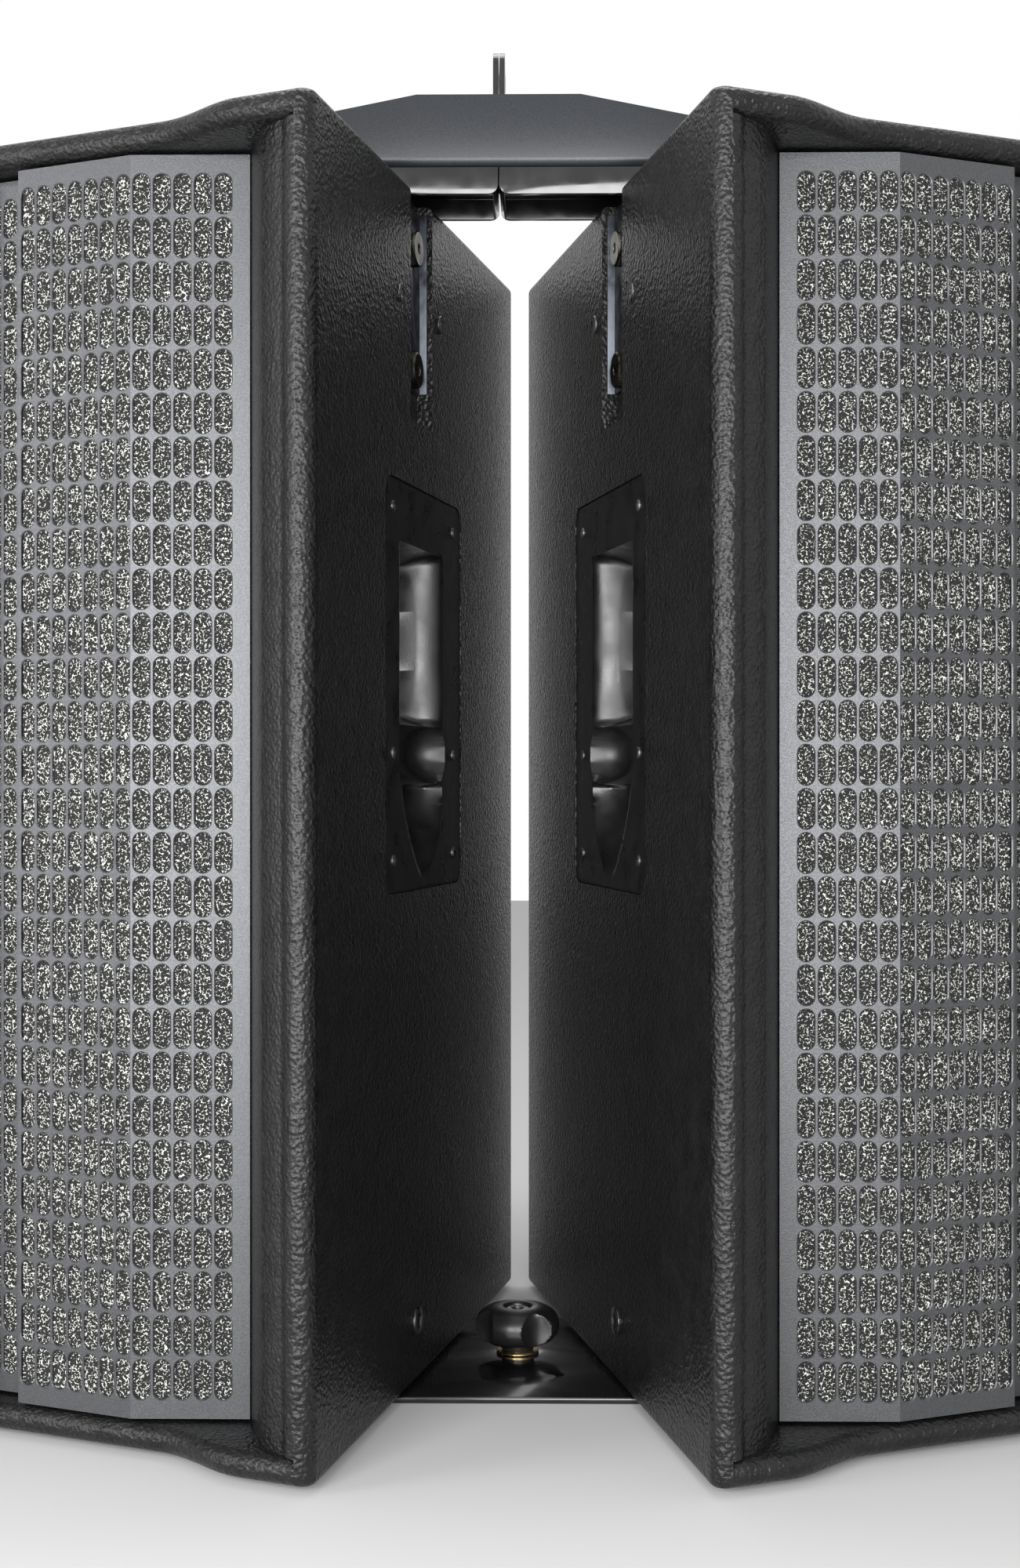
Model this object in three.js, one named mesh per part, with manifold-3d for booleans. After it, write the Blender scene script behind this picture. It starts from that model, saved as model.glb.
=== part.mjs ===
// Horizontal loudspeaker array: two tall trapezoid cabinets set with their fronts turned apart, tied together on
// top by a bridge channel over two lifting brackets, and underneath by a base plate with a star-grip clamping knob.
//
// Millimetres, +Z up, the front faces -Y, and the two cabinets mirror each other across X = 0. Each cabinet is
// modelled in a frame of its own: x across, y from the front edge to the back, z up from its underside.
import * as THREE from "three";
import { mergeVertices } from "three/addons/utils/BufferGeometryUtils.js";
import Module from "manifold-3d";

const wasm = await Module();
wasm.setup();
const rad = THREE.MathUtils.degToRad;

// ---- Driving dimensions -------------------------------------------------------------------------------------

const seatGap = 0.3; // between two pieces that seat on each other
const runningGap = 0.5; // round a piece that turns or travels

const box = {
  width: 524, // across the front, over the side walls
  height: 880,
  depth: 550,
  taper: 10, // degrees that each side wall leans in towards the back
  wall: 18,
  noseDiameter: 24, // the rounded front edge of a side wall
  rimThickness: 18, // the rounded front edge of the top and bottom
  rearCornerRadius: 15,
  edgeRadius: 5,
};
const rim = {
  lobeWidth: 55, // the rim stands fully forward this far in from each side
  sweepWidth: 72, // then sweeps back in an S over this width
  setback: 22, // to this depth in the middle
};
const bevel = {
  shallow: { across: 44.9, depth: 17.8 }, // where the shallow bevel behind the nose meets the steep one
  steep: { across: 75.1, depth: 56.2 }, // where the steep bevel ends, at the edge of the grille
};
const array = {
  halfSplay: 22.5, // degrees that each cabinet's axis turns away from straight ahead
  rearGap: 11, // between the inner rear corners
};
const grille = {
  sheet: 1.5,
  sideGap: 2,
  endGap: 2,
  edgeDepth: 57.5,
  sideFacet: 79.6,
  sideFacetAngle: 22.5,
  frontFacet: 89.5,
  centreSetback: 18, // the middle strip lies this far behind the front facets
  stepRun: 1,
};
const foamThickness = 6;
const baffle = { front: 74, thickness: 18 };
const woofer = {
  centreHeight: 245,
  flangeRadius: 157.5,
  flangeThickness: 6,
  coneRadius: 142.5,
  basketDepth: 92,
  basketRearRadius: 72,
  shell: 3,
  windows: 6,
  windowWidth: 46,
  coilRadius: 37.5,
  coilWall: 2,
  coneWall: 1.6,
  coneDepth: 62,
  travel: 6,
  magnetRadius: 88,
  magnetThickness: 44,
  magnetPlate: 8,
};
const horn = {
  centreHeight: 620,
  mouthWidth: 330,
  mouthHeight: 330,
  depth: 215,
  throatRadius: 18,
  wall: 4,
  flange: 16,
  flangeThickness: 6,
};
const driver = { radius: 72, thickness: 58, capRadius: 52, capThickness: 12 };
const panel = { width: 190, height: 120, thickness: 2.5, centreHeight: 300, lip: 15 };
const socket = { pitch: 60, barrelRadius: 12, boreRadius: 9.5, flange: 30, flangeThickness: 3, depth: 24, coreLength: 8 };
const crossover = { width: 180, height: 130, board: 2, post: 8, centreHeight: 560 };
const handle = {
  along: 268, // from the front corner to its middle, along the wall
  centreHeight: 512,
  width: 208,
  height: 297,
  plate: 3,
  sunk: 0.4,
  recessHalfWidth: 68.5,
  recessDepth: 45,
  recessRadius: 18,
  skin: 3,
  grip: { top: 104.5, bottom: -26.5 }, // the upper recess, from the plate's middle
  lip: { crest: 46, edge: 38, drop: 22, underside: 25 }, // its steep face looks forward over the upper recess
  trough: { front: -67.5, rear: 56, depth: 26 }, // the round one between the upper and lower recess
  scoop: { top: -69.5, bottom: -129.5, depth: 24 }, // the lower one
};
const rail = {
  along: 256.8,
  pocketWidth: 59,
  pocketLength: 171,
  pocketDepth: 12,
  sheet: 2.5,
  length: 136,
  below: 7, // from the cabinet's top down to the channel's top
};
const disc = { diameter: 27, thickness: 6.9, pitch: 90.7, below: 39, hex: 6, hexDepth: 4 };
const discStem = { radius: 4, length: 2.4 };
const poleCup = { along: 250, flangeRadius: 55, flangeThickness: 3, wall: 3, boreRadius: 18, depth: 90 };
const foot = { radius: 20, thickness: 5 };

const basePlate = {
  thickness: 5,
  front: 200, // from the cabinets' front corners
  depth: 220,
  halfWidth: 205,
  cornerCut: 60,
  spigotRadius: 9,
  spigotHeight: 12,
  spigotX: 150,
  spigotBack: 80,
};
const knob = {
  back: 319,
  radius: 32.5,
  lobes: 4,
  turn: -15, // degrees from +x to the middle of a lobe
  dentDepth: 6,
  bottom: 7.3,
  top: 35.5,
  edgeRadius: 12,
  neckRadius: 12.5,
  spindleRadius: 10,
  crownRadius: 10,
  crownDepth: 5,
};
const washer = { radius: 16.3, thickness: 1.5 };
const rig = {
  shift: -13.4, // the bridge and its brackets sit this far to one side of the middle
  channelFront: 246,
  channelDepth: 74,
  channelHeight: 20,
  channelLength: 216,
  sheet: 4,
  cornerRadius: 7,
  tabGap: 0.8,
  tabWidth: 60,
  tabHeight: 111,
  tabCornerRadius: 14,
  lugHoleRadius: 8,
  lugHoleHeight: 94,
};
const bridge = {
  front: 243,
  depth: 80,
  sheet: 3,
  halfWidth: 210,
  flatHalfWidth: 61,
  flangeHeight: 53,
  slope: 0.2,
  slotMargin: 2,
};
const bridgeBolt = { x: 150, shankRadius: 6, headAcross: 19, headHeight: 8, engagement: 14 };

// ---- Sizes that follow from them ----------------------------------------------------------------------------

const halfWidth = box.width / 2;
const noseRadius = box.noseDiameter / 2;
const rimRadius = box.rimThickness / 2;
const sin = (degrees) => Math.sin(rad(degrees));
const cos = (degrees) => Math.cos(rad(degrees));
const tan = (degrees) => Math.tan(rad(degrees));
const wallLean = array.halfSplay - box.taper; // each inner wall's angle from straight ahead
const floorClearance = basePlate.thickness + seatGap;
const topHeight = floorClearance + box.height;
// Half the gap between the inner front corners, as sharp corners.
const frontHalfGap =
  array.rearGap / 2 +
  box.depth * sin(array.halfSplay) -
  box.depth * tan(box.taper) * cos(array.halfSplay);
// The half width inside the outer wall face at a depth, with a wall of this thickness.
const innerHalf = (y, thickness) => halfWidth - y * tan(box.taper) - thickness / cos(box.taper);

// ---- Geometry helpers ---------------------------------------------------------------------------------------

function solidOf(geometry) {
  const loose = (geometry.index ? geometry.toNonIndexed() : geometry.clone())
    .deleteAttribute("normal")
    .deleteAttribute("uv");
  const merged = mergeVertices(loose, 1e-4);
  return new wasm.Manifold(
    new wasm.Mesh({
      numProp: 3,
      vertProperties: new Float32Array(merged.attributes.position.array),
      triVerts: new Uint32Array(merged.index.array),
    }),
  );
}

function geometryOf(solid) {
  const mesh = solid.getMesh();
  return new THREE.BufferGeometry()
    .setAttribute("position", new THREE.BufferAttribute(mesh.vertProperties, 3))
    .setIndex(new THREE.BufferAttribute(mesh.triVerts, 1));
}

function cut(geometry, ...tools) {
  return geometryOf(tools.reduce((solid, tool) => solid.subtract(solidOf(tool)), solidOf(geometry)));
}

function join(...geometries) {
  return geometryOf(geometries.map(solidOf).reduce((all, next) => all.add(next)));
}

function common(a, b) {
  return geometryOf(solidOf(a).intersect(solidOf(b)));
}

function block(x0, x1, y0, y1, z0, z1) {
  return new THREE.BoxGeometry(x1 - x0, y1 - y0, z1 - z0).translate((x0 + x1) / 2, (y0 + y1) / 2, (z0 + z1) / 2);
}

function cylinderZ(radius, z0, z1, segments = 16) {
  return new THREE.CylinderGeometry(radius, radius, z1 - z0, segments)
    .rotateX(Math.PI / 2)
    .translate(0, 0, (z0 + z1) / 2);
}

function cylinderY(radius, y0, y1, segments = 16) {
  return new THREE.CylinderGeometry(radius, radius, y1 - y0, segments).translate(0, (y0 + y1) / 2, 0);
}

// A plan outline of [x, y] points, raised from z0 to z1.
function raise(outline, z0, z1) {
  const shape = new THREE.Shape(outline.map(([x, y]) => new THREE.Vector2(x, y)));
  return new THREE.ExtrudeGeometry(shape, { depth: z1 - z0, bevelEnabled: false }).translate(0, 0, z0);
}

// A shape drawn as seen from the front, in x and z, given a thickness from y0 back to y1.
function thicken(shape, y0, y1) {
  return new THREE.ExtrudeGeometry(shape, { depth: y1 - y0, bevelEnabled: false, curveSegments: 3 })
    .rotateX(Math.PI / 2)
    .translate(0, y1, 0);
}

function roundedRectangle(x0, x1, z0, z1, radius) {
  const shape = new THREE.Shape();
  shape.moveTo(x0 + radius, z0);
  shape.lineTo(x1 - radius, z0);
  shape.absarc(x1 - radius, z0 + radius, radius, -Math.PI / 2, 0, false);
  shape.lineTo(x1, z1 - radius);
  shape.absarc(x1 - radius, z1 - radius, radius, 0, Math.PI / 2, false);
  shape.lineTo(x0 + radius, z1);
  shape.absarc(x0 + radius, z1 - radius, radius, Math.PI / 2, Math.PI, false);
  shape.lineTo(x0, z0 + radius);
  shape.absarc(x0 + radius, z0 + radius, radius, Math.PI, 1.5 * Math.PI, false);
  return shape;
}

// A solid through a stack of outlines with equally many [x, y] points, each at its own z, anticlockwise from above.
function loft(levels) {
  const count = levels[0].outline.length;
  const positions = levels.flatMap(({ z, outline }) => outline.flatMap(([x, y]) => [x, y, z]));
  const faces = [];
  for (let level = 0; level + 1 < levels.length; level++) {
    for (let i = 0; i < count; i++) {
      const a = level * count + i;
      const b = level * count + ((i + 1) % count);
      faces.push(a, b, b + count, a, b + count, a + count);
    }
  }
  const cap = (outline) => THREE.ShapeUtils.triangulateShape(outline.map(([x, y]) => new THREE.Vector2(x, y)), []);
  cap(levels[0].outline).forEach(([a, b, c]) => faces.push(c, b, a));
  const top = (levels.length - 1) * count;
  cap(levels.at(-1).outline).forEach(([a, b, c]) => faces.push(top + a, top + b, top + c));
  return new THREE.BufferGeometry()
    .setAttribute("position", new THREE.Float32BufferAttribute(positions, 3))
    .setIndex(faces);
}

// Points on an arc round [x, y], both ends included, with angles in degrees.
function arc(x, y, radius, from, to, steps) {
  return Array.from({ length: steps + 1 }, (_, i) => {
    const angle = from + ((to - from) * i) / steps;
    return [x + radius * cos(angle), y + radius * sin(angle)];
  });
}

const mirrored = (points) => points.map(([x, y, ...rest]) => [-x, y, ...rest]).reverse();

// An open line of [x, y] points moved sideways by a distance, to the left of its direction.
function offsetLine(points, distance) {
  const normals = points.slice(1).map(([x, y], i) => {
    const direction = new THREE.Vector2(x - points[i][0], y - points[i][1]).normalize();
    return new THREE.Vector2(-direction.y, direction.x);
  });
  return points.map(([x, y], i) => {
    const before = normals[Math.max(i - 1, 0)];
    const after = normals[Math.min(i, normals.length - 1)];
    const mitre = before.clone().add(after);
    mitre.multiplyScalar(distance / mitre.dot(after));
    return [x + mitre.x, y + mitre.y];
  });
}

// A bent sheet: a line in plan, thickened to its left between two offsets and raised from z0 to z1.
function bentSheet(line, near, far, z0, z1) {
  return raise([...offsetLine(line, near), ...offsetLine(line, far).reverse()], z0, z1);
}

// ---- Cabinet shell ------------------------------------------------------------------------------------------

// How far back the top and bottom rims' front edge lies at a distance in from the side.
function rimSetback(across) {
  const t = THREE.MathUtils.clamp((across - rim.lobeWidth) / rim.sweepWidth, 0, 1);
  return rim.setback * t * t * (3 - 2 * t);
}

// The outer plan outline as [x, y, edge radius], anticlockwise from above.
function outerOutline() {
  const sweepSteps = 6;
  const front = Array.from({ length: sweepSteps + 1 }, (_, i) => {
    const across = rim.lobeWidth + rim.sweepWidth * (1 - i / sweepSteps);
    return [halfWidth - across, rimSetback(across), rimRadius];
  });
  const noseX = halfWidth - noseRadius * tan(box.taper) - noseRadius / cos(box.taper);
  const nose = arc(noseX, noseRadius, noseRadius, -90, box.taper, 6).map(([x, y], i) => [
    x,
    y,
    THREE.MathUtils.lerp(rimRadius, box.edgeRadius, i / 6),
  ]);
  const cornerY = box.depth - box.rearCornerRadius;
  const corner = arc(innerHalf(cornerY, box.rearCornerRadius), cornerY, box.rearCornerRadius, box.taper, 90, 4).map(
    (point) => [...point, box.edgeRadius],
  );
  const right = [...front, ...nose, ...corner];
  return [...right, ...mirrored(right)];
}

// The outline drawn in by a quarter-round at each point, at a height below the edge.
function roundedIn(outline, below) {
  const count = outline.length;
  return outline.map(([x, y, radius], i) => {
    if (below >= radius) return [x, y];
    const [beforeX, beforeY] = outline[(i + count - 1) % count];
    const [afterX, afterY] = outline[(i + 1) % count];
    const tangent = new THREE.Vector2(afterX - beforeX, afterY - beforeY).normalize();
    const inset = radius - Math.sqrt(radius ** 2 - (radius - below) ** 2);
    return [x - tangent.y * inset, y + tangent.x * inset];
  });
}

const edgeSteps = 3;
const edgeHeights = Array.from({ length: edgeSteps + 1 }, (_, i) => rimRadius * (1 - cos((90 * i) / edgeSteps)));
const flareHeights = Array.from({ length: edgeSteps + 1 }, (_, i) => rimRadius * sin((90 * i) / edgeSteps));

function outerBody() {
  const outline = outerOutline();
  const rising = edgeHeights.map((below) => ({ z: below, outline: roundedIn(outline, below) }));
  const falling = edgeHeights.map((below) => ({ z: box.height - below, outline: roundedIn(outline, below) }));
  return loft([...rising, ...falling.reverse()]);
}

// The front opening's side in plan, from its back to well in front of the nose: both bevels, then the inner nose.
function openingSide() {
  const ahead = 30;
  return [
    [halfWidth - bevel.steep.across, baffle.front],
    [halfWidth - bevel.steep.across, bevel.steep.depth],
    [halfWidth - bevel.shallow.across, bevel.shallow.depth],
    ...arc(halfWidth - noseRadius, noseRadius, noseRadius, 204, 270, 4),
    [halfWidth - noseRadius, -ahead],
  ];
}

function openingOutline() {
  const side = openingSide();
  return [...mirrored(side), ...side].reverse();
}

function cavityOutline() {
  const inner = box.depth - box.wall;
  const right = [
    [innerHalf(baffle.front, box.wall), baffle.front],
    [innerHalf(inner, box.wall), inner],
  ];
  return [...right, ...mirrored(right)];
}

// What is cut in front of one rim's inner quarter-round. The opening narrows to nothing half way up the rim.
function rimFlare() {
  const ahead = 30;
  const steps = 16;
  const levels = flareHeights.map((above) => {
    const drop = rimRadius - Math.sqrt(rimRadius ** 2 - above ** 2);
    const back = Array.from({ length: steps + 1 }, (_, i) => {
      const x = halfWidth * (1 - (2 * i) / steps);
      return [x, rimSetback(halfWidth - Math.abs(x)) + drop];
    });
    return { z: above - rimRadius, outline: [[-halfWidth, -ahead], [halfWidth, -ahead], ...back] };
  });
  return common(loft(levels), raise(openingOutline(), -rimRadius, rimRadius));
}

// A geometry modelled against a side wall (x outward from its outer face, y along it from the front corner) put on
// the cabinet's +x wall.
function onWall(geometry) {
  return geometry.clone().rotateZ(rad(box.taper)).translate(halfWidth, 0, 0);
}

function mirrorX(geometry) {
  const flipped = geometryOf(solidOf(geometry)).scale(-1, 1, 1);
  const order = flipped.index.array;
  for (let i = 0; i < order.length; i += 3) [order[i], order[i + 1]] = [order[i + 1], order[i]];
  return flipped;
}

const onBothWalls = (geometry) => [onWall(geometry), mirrorX(onWall(geometry))];

// A profile of [radius, y] points turned about the y axis, closed on itself or on the axis.
function turned(profile, segments = 32) {
  return new THREE.LatheGeometry(
    profile.map(([radius, y]) => new THREE.Vector2(radius, y)),
    segments,
  );
}

// The plan place of a point on the underside of a cabinet, from its place in the whole array.
function inCabinet(x, y) {
  const corner = cabinetPlace();
  const dx = x - corner.x;
  const dy = y - corner.y;
  return [dx * cos(array.halfSplay) + dy * sin(array.halfSplay), dy * cos(array.halfSplay) - dx * sin(array.halfSplay)];
}

function cabinetPlace() {
  return new THREE.Vector3(frontHalfGap + halfWidth * cos(array.halfSplay), halfWidth * sin(array.halfSplay), floorClearance);
}

function railPocket() {
  return block(-rail.pocketDepth, 10, rail.along - rail.pocketWidth / 2, rail.along + rail.pocketWidth / 2,
    box.height - rail.pocketLength, box.height + 10);
}

function handleHole() {
  const half = handle.recessHalfWidth + handle.skin + seatGap;
  const top = handle.grip.top + handle.skin + seatGap;
  const bottom = handle.scoop.bottom - handle.skin - seatGap;
  const plate = seatGap + handle.sunk + handle.plate;
  return join(
    block(-box.wall - 10, 1, handle.along - half, handle.along + half, handle.centreHeight + bottom,
      handle.centreHeight + top),
    block(-plate, 10, handle.along - handle.width / 2 - seatGap, handle.along + handle.width / 2 + seatGap,
      handle.centreHeight - handle.height / 2 - seatGap, handle.centreHeight + handle.height / 2 + seatGap),
  );
}

function panelCuts() {
  const { width, height, lip, centreHeight } = panel;
  const sink = panel.thickness + seatGap;
  return [
    block(-width / 2 + lip, width / 2 - lip, box.depth - box.wall - 10, box.depth + 1, centreHeight - height / 2 + lip,
      centreHeight + height / 2 - lip),
    block(-width / 2 - seatGap, width / 2 + seatGap, box.depth - sink, box.depth + 10,
      centreHeight - height / 2 - seatGap, centreHeight + height / 2 + seatGap),
  ];
}

function undersideCuts() {
  const cupHole = cylinderZ(poleCup.boreRadius + poleCup.wall + seatGap, -1, box.rimThickness + 1, 20);
  const cupSeat = cylinderZ(poleCup.flangeRadius + seatGap, -1, poleCup.flangeThickness + seatGap, 20);
  const [spigotX, spigotY] = inCabinet(basePlate.spigotX, basePlate.front + basePlate.spigotBack);
  const spigotHole = cylinderZ(basePlate.spigotRadius + runningGap, -1,
    basePlate.spigotHeight + runningGap).translate(spigotX, spigotY, 0);
  return [join(cupHole, cupSeat).translate(0, poleCup.along, 0), spigotHole];
}

function bridgeBoltHole() {
  const [x, y] = inCabinet(bridgeBolt.x, rig.channelFront + rig.channelDepth / 2);
  return cylinderZ(bridgeBolt.shankRadius + runningGap, box.height - bridgeBolt.engagement, box.height + 1).translate(
    x, y, 0);
}

function shellGeometry() {
  const ceiling = box.height - box.rimThickness;
  const outline = openingOutline();
  return cut(
    outerBody(),
    raise(outline, box.rimThickness, ceiling),
    raise(cavityOutline(), box.rimThickness, ceiling),
    rimFlare().translate(0, 0, box.rimThickness),
    rimFlare().rotateY(Math.PI).translate(0, 0, ceiling),
    ...onBothWalls(railPocket()),
    ...onBothWalls(handleHole()),
    ...panelCuts(),
    ...undersideCuts(),
    bridgeBoltHole(),
  );
}

// ---- Baffle, grille and foam --------------------------------------------------------------------------------

const wooferHoleRadius = woofer.coneRadius + woofer.shell;
const hornBodyHalf = horn.mouthWidth / 2 + horn.wall;
const portHeight = 85;
const port = { x: 150, radius: 42 };

function baffleGeometry() {
  const back = baffle.front + baffle.thickness;
  const front = baffle.front + seatGap;
  const outline = [
    [innerHalf(front, box.wall) - seatGap, front],
    [innerHalf(back, box.wall) - seatGap, back],
  ];
  const hornHalf = hornBodyHalf + seatGap;
  const hole = cylinderY(wooferHoleRadius + seatGap, front - 5, back + 5, 16).translate(0, 0, woofer.centreHeight);
  const ports = [-1, 1].map((side) => cylinderY(port.radius, front - 5, back + 5, 16).translate(side * port.x, 0, portHeight));
  return cut(
    raise([...outline, ...mirrored(outline)], box.rimThickness + seatGap, box.height - box.rimThickness - seatGap),
    hole,
    ...ports,
    block(-hornHalf, hornHalf, front - 5, back + 5, horn.centreHeight - hornHalf, horn.centreHeight + hornHalf),
  );
}

// The grille's front face in plan, from its -x edge to its +x edge.
function grilleLine() {
  const edge = halfWidth - bevel.steep.across - grille.sideGap;
  const sideX = edge - grille.sideFacet * cos(grille.sideFacetAngle);
  const frontY = grille.edgeDepth - grille.sideFacet * sin(grille.sideFacetAngle);
  const frontX = sideX - grille.frontFacet;
  const half = [
    [edge, grille.edgeDepth],
    [sideX, frontY],
    [frontX, frontY],
    [frontX - grille.stepRun, frontY + grille.centreSetback],
  ];
  return [...mirrored(half).reverse(), ...half.reverse()];
}

function grilleGeometry() {
  return bentSheet(grilleLine(), 0, grille.sheet, box.rimThickness + grille.endGap,
    box.height - box.rimThickness - grille.endGap);
}

function foamGeometry() {
  const near = grille.sheet + seatGap;
  return bentSheet(grilleLine(), near, near + foamThickness, box.rimThickness + grille.endGap,
    box.height - box.rimThickness - grille.endGap);
}

// ---- Woofer -------------------------------------------------------------------------------------------------

const flangeFront = baffle.front - woofer.flangeThickness;
const basketBack = flangeFront + woofer.basketDepth;

function basketGeometry() {
  const { flangeRadius, coneRadius, basketRearRadius, shell, coilRadius } = woofer;
  const hub = coilRadius + 8;
  const body = turned([
    [flangeRadius, flangeFront],
    [flangeRadius, baffle.front],
    [coneRadius + shell, baffle.front],
    [coneRadius + shell, baffle.front + 12],
    [basketRearRadius + shell, basketBack - shell],
    [basketRearRadius + shell, basketBack],
    [hub, basketBack],
    [hub, basketBack - shell],
    [basketRearRadius, basketBack - shell],
    [coneRadius, baffle.front + 12],
    [coneRadius, flangeFront],
    [flangeRadius, flangeFront],
  ], 16);
  const windows = Array.from({ length: woofer.windows }, (_, i) =>
    block(-woofer.windowWidth / 2, woofer.windowWidth / 2, baffle.front + 20, basketBack - 10,
      basketRearRadius + 8, coneRadius + 10).rotateY((2 * Math.PI * i) / woofer.windows));
  return cut(body, ...windows);
}

// The cone, its surround, dust cap and coil former, at rest in the basket.
function coneGeometry() {
  const { coneWall, coneDepth, coilRadius, coilWall } = woofer;
  const front = flangeFront + woofer.travel + 4;
  const outer = woofer.coneRadius - runningGap;
  const back = front + coneDepth;
  const end = basketBack + 12;
  return turned([
    [0, back - 22],
    [coilRadius * 0.55, back - 18],
    [coilRadius, back - 8],
    [outer - 16, front + 2],
    [outer - 12, front - 4],
    [outer - 4, front - 4],
    [outer, front],
    [outer, front + coneWall],
    [outer - 5, front - 4 + coneWall],
    [outer - 11, front - 4 + coneWall],
    [outer - 15, front + 2 + coneWall * 1.6],
    [coilRadius + coneWall, back],
    [coilRadius, back],
    [coilRadius, end],
    [coilRadius - coilWall, end],
    [coilRadius - coilWall, back - 4],
    [coilRadius * 0.55, back - 16],
    [0, back - 20],
  ], 16);
}

function magnetGeometry() {
  const front = basketBack + seatGap;
  const { magnetRadius, magnetThickness, magnetPlate, coilRadius, coilWall } = woofer;
  const back = front + magnetThickness;
  const groove = front + 12 + 2 * woofer.travel;
  return turned([
    [0, front],
    [coilRadius - coilWall - 1, front],
    [coilRadius - coilWall - 1, groove],
    [coilRadius + 1, groove],
    [coilRadius + 1, front],
    [magnetRadius - 6, front],
    [magnetRadius - 6, front + magnetPlate],
    [magnetRadius, front + magnetPlate],
    [magnetRadius, back - magnetPlate],
    [magnetRadius - 6, back - magnetPlate],
    [magnetRadius - 6, back],
    [0, back],
  ], 16);
}

// ---- Horn and its driver ------------------------------------------------------------------------------------

// A rounded square, blending to a circle as squareness falls from 1 to 0.
function hornOutline(half, radius, squareness) {
  const points = 16;
  return Array.from({ length: points }, (_, i) => {
    const angle = (360 * (i + 0.5)) / points;
    const reach = half / Math.max(Math.abs(cos(angle)), Math.abs(sin(angle)));
    const r = THREE.MathUtils.lerp(radius, reach, squareness);
    return [r * cos(angle), r * sin(angle)];
  });
}

function hornLoft(extra, startBefore, endAfter) {
  const steps = 5;
  const levels = Array.from({ length: steps + 1 }, (_, i) => {
    const t = i / steps;
    const half = THREE.MathUtils.lerp(horn.throatRadius, horn.mouthWidth / 2, t ** 1.35) + extra;
    return { z: horn.depth * (t - 1), outline: hornOutline(half, half, t ** 0.7) };
  });
  levels[0].z -= startBefore;
  levels[steps].z += endAfter;
  // Depth runs back from the mouth, so the loft's own z turns to point at the front.
  return loft(levels).rotateX(Math.PI / 2);
}

function hornGeometry() {
  const flangeHalf = horn.mouthWidth / 2 + horn.flange;
  const front = baffle.front - horn.flangeThickness;
  const flange = block(-flangeHalf, flangeHalf, 0, horn.flangeThickness, -flangeHalf, flangeHalf);
  return cut(join(hornLoft(horn.wall, 0, 0), flange), hornLoft(0, 1, 1)).translate(0, front, horn.centreHeight);
}

function driverGeometry() {
  const front = baffle.front - horn.flangeThickness + horn.depth + seatGap;
  const { radius, thickness, capRadius, capThickness } = driver;
  const back = front + thickness;
  return turned([
    [0, front + 10],
    [horn.throatRadius, front + 10],
    [horn.throatRadius, front],
    [radius - 20, front],
    [radius - 20, front + 8],
    [radius, front + 8],
    [radius, back],
    [capRadius, back],
    [capRadius - 6, back + capThickness],
    [0, back + capThickness],
  ], 16).translate(0, 0, horn.centreHeight);
}

// ---- Connectors and crossover -------------------------------------------------------------------------------

function panelGeometry() {
  const { width, height, thickness, centreHeight } = panel;
  const shape = roundedRectangle(-width / 2, width / 2, centreHeight - height / 2, centreHeight + height / 2, 4);
  const holes = [-1, 1].map((side) =>
    cylinderY(socket.barrelRadius + seatGap, box.depth - 20, box.depth + 5, 12).translate(
      (side * socket.pitch) / 2, 0, centreHeight));
  return cut(thicken(shape, box.depth - thickness, box.depth), ...holes);
}

function socketGeometry() {
  const face = box.depth + seatGap;
  const half = socket.flange / 2;
  const shape = roundedRectangle(-half, half, -half, half, 4);
  const front = box.depth - socket.depth;
  return cut(
    join(thicken(shape, face, face + socket.flangeThickness), cylinderY(socket.barrelRadius, front, face + 1, 12)),
    cut(cylinderY(socket.boreRadius, front + 3, face + 10, 12),
      cylinderY(socket.boreRadius - 4, front, front + socket.coreLength, 12)),
  ).translate(0, 0, panel.centreHeight);
}

function crossoverGeometry() {
  const back = box.depth - box.wall - seatGap;
  const front = back - crossover.post - crossover.board;
  const { width, height } = crossover;
  const posts = [-1, 1].flatMap((x) => [-1, 1].map((z) =>
    cylinderY(5, front + 1, back, 8).translate(x * (width / 2 - 12), 0, z * (height / 2 - 12))));
  const coils = [-1, 1].map((side) => cylinderY(24, front - 26, front + 1, 16).translate(side * 45, 0, 22));
  const bobbins = [-1, 1].map((side) => cylinderY(9, front - 32, front - 20, 10).translate(side * 45, 0, 22));
  const capacitor = new THREE.CylinderGeometry(12, 12, 60, 12).rotateZ(Math.PI / 2).translate(0, front - 10, -30);
  return join(block(-width / 2, width / 2, front, front + crossover.board, -height / 2, height / 2),
    ...posts, ...coils, ...bobbins, capacitor).translate(0, 0, crossover.centreHeight);
}

// ---- Handles ------------------------------------------------------------------------------------------------

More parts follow.
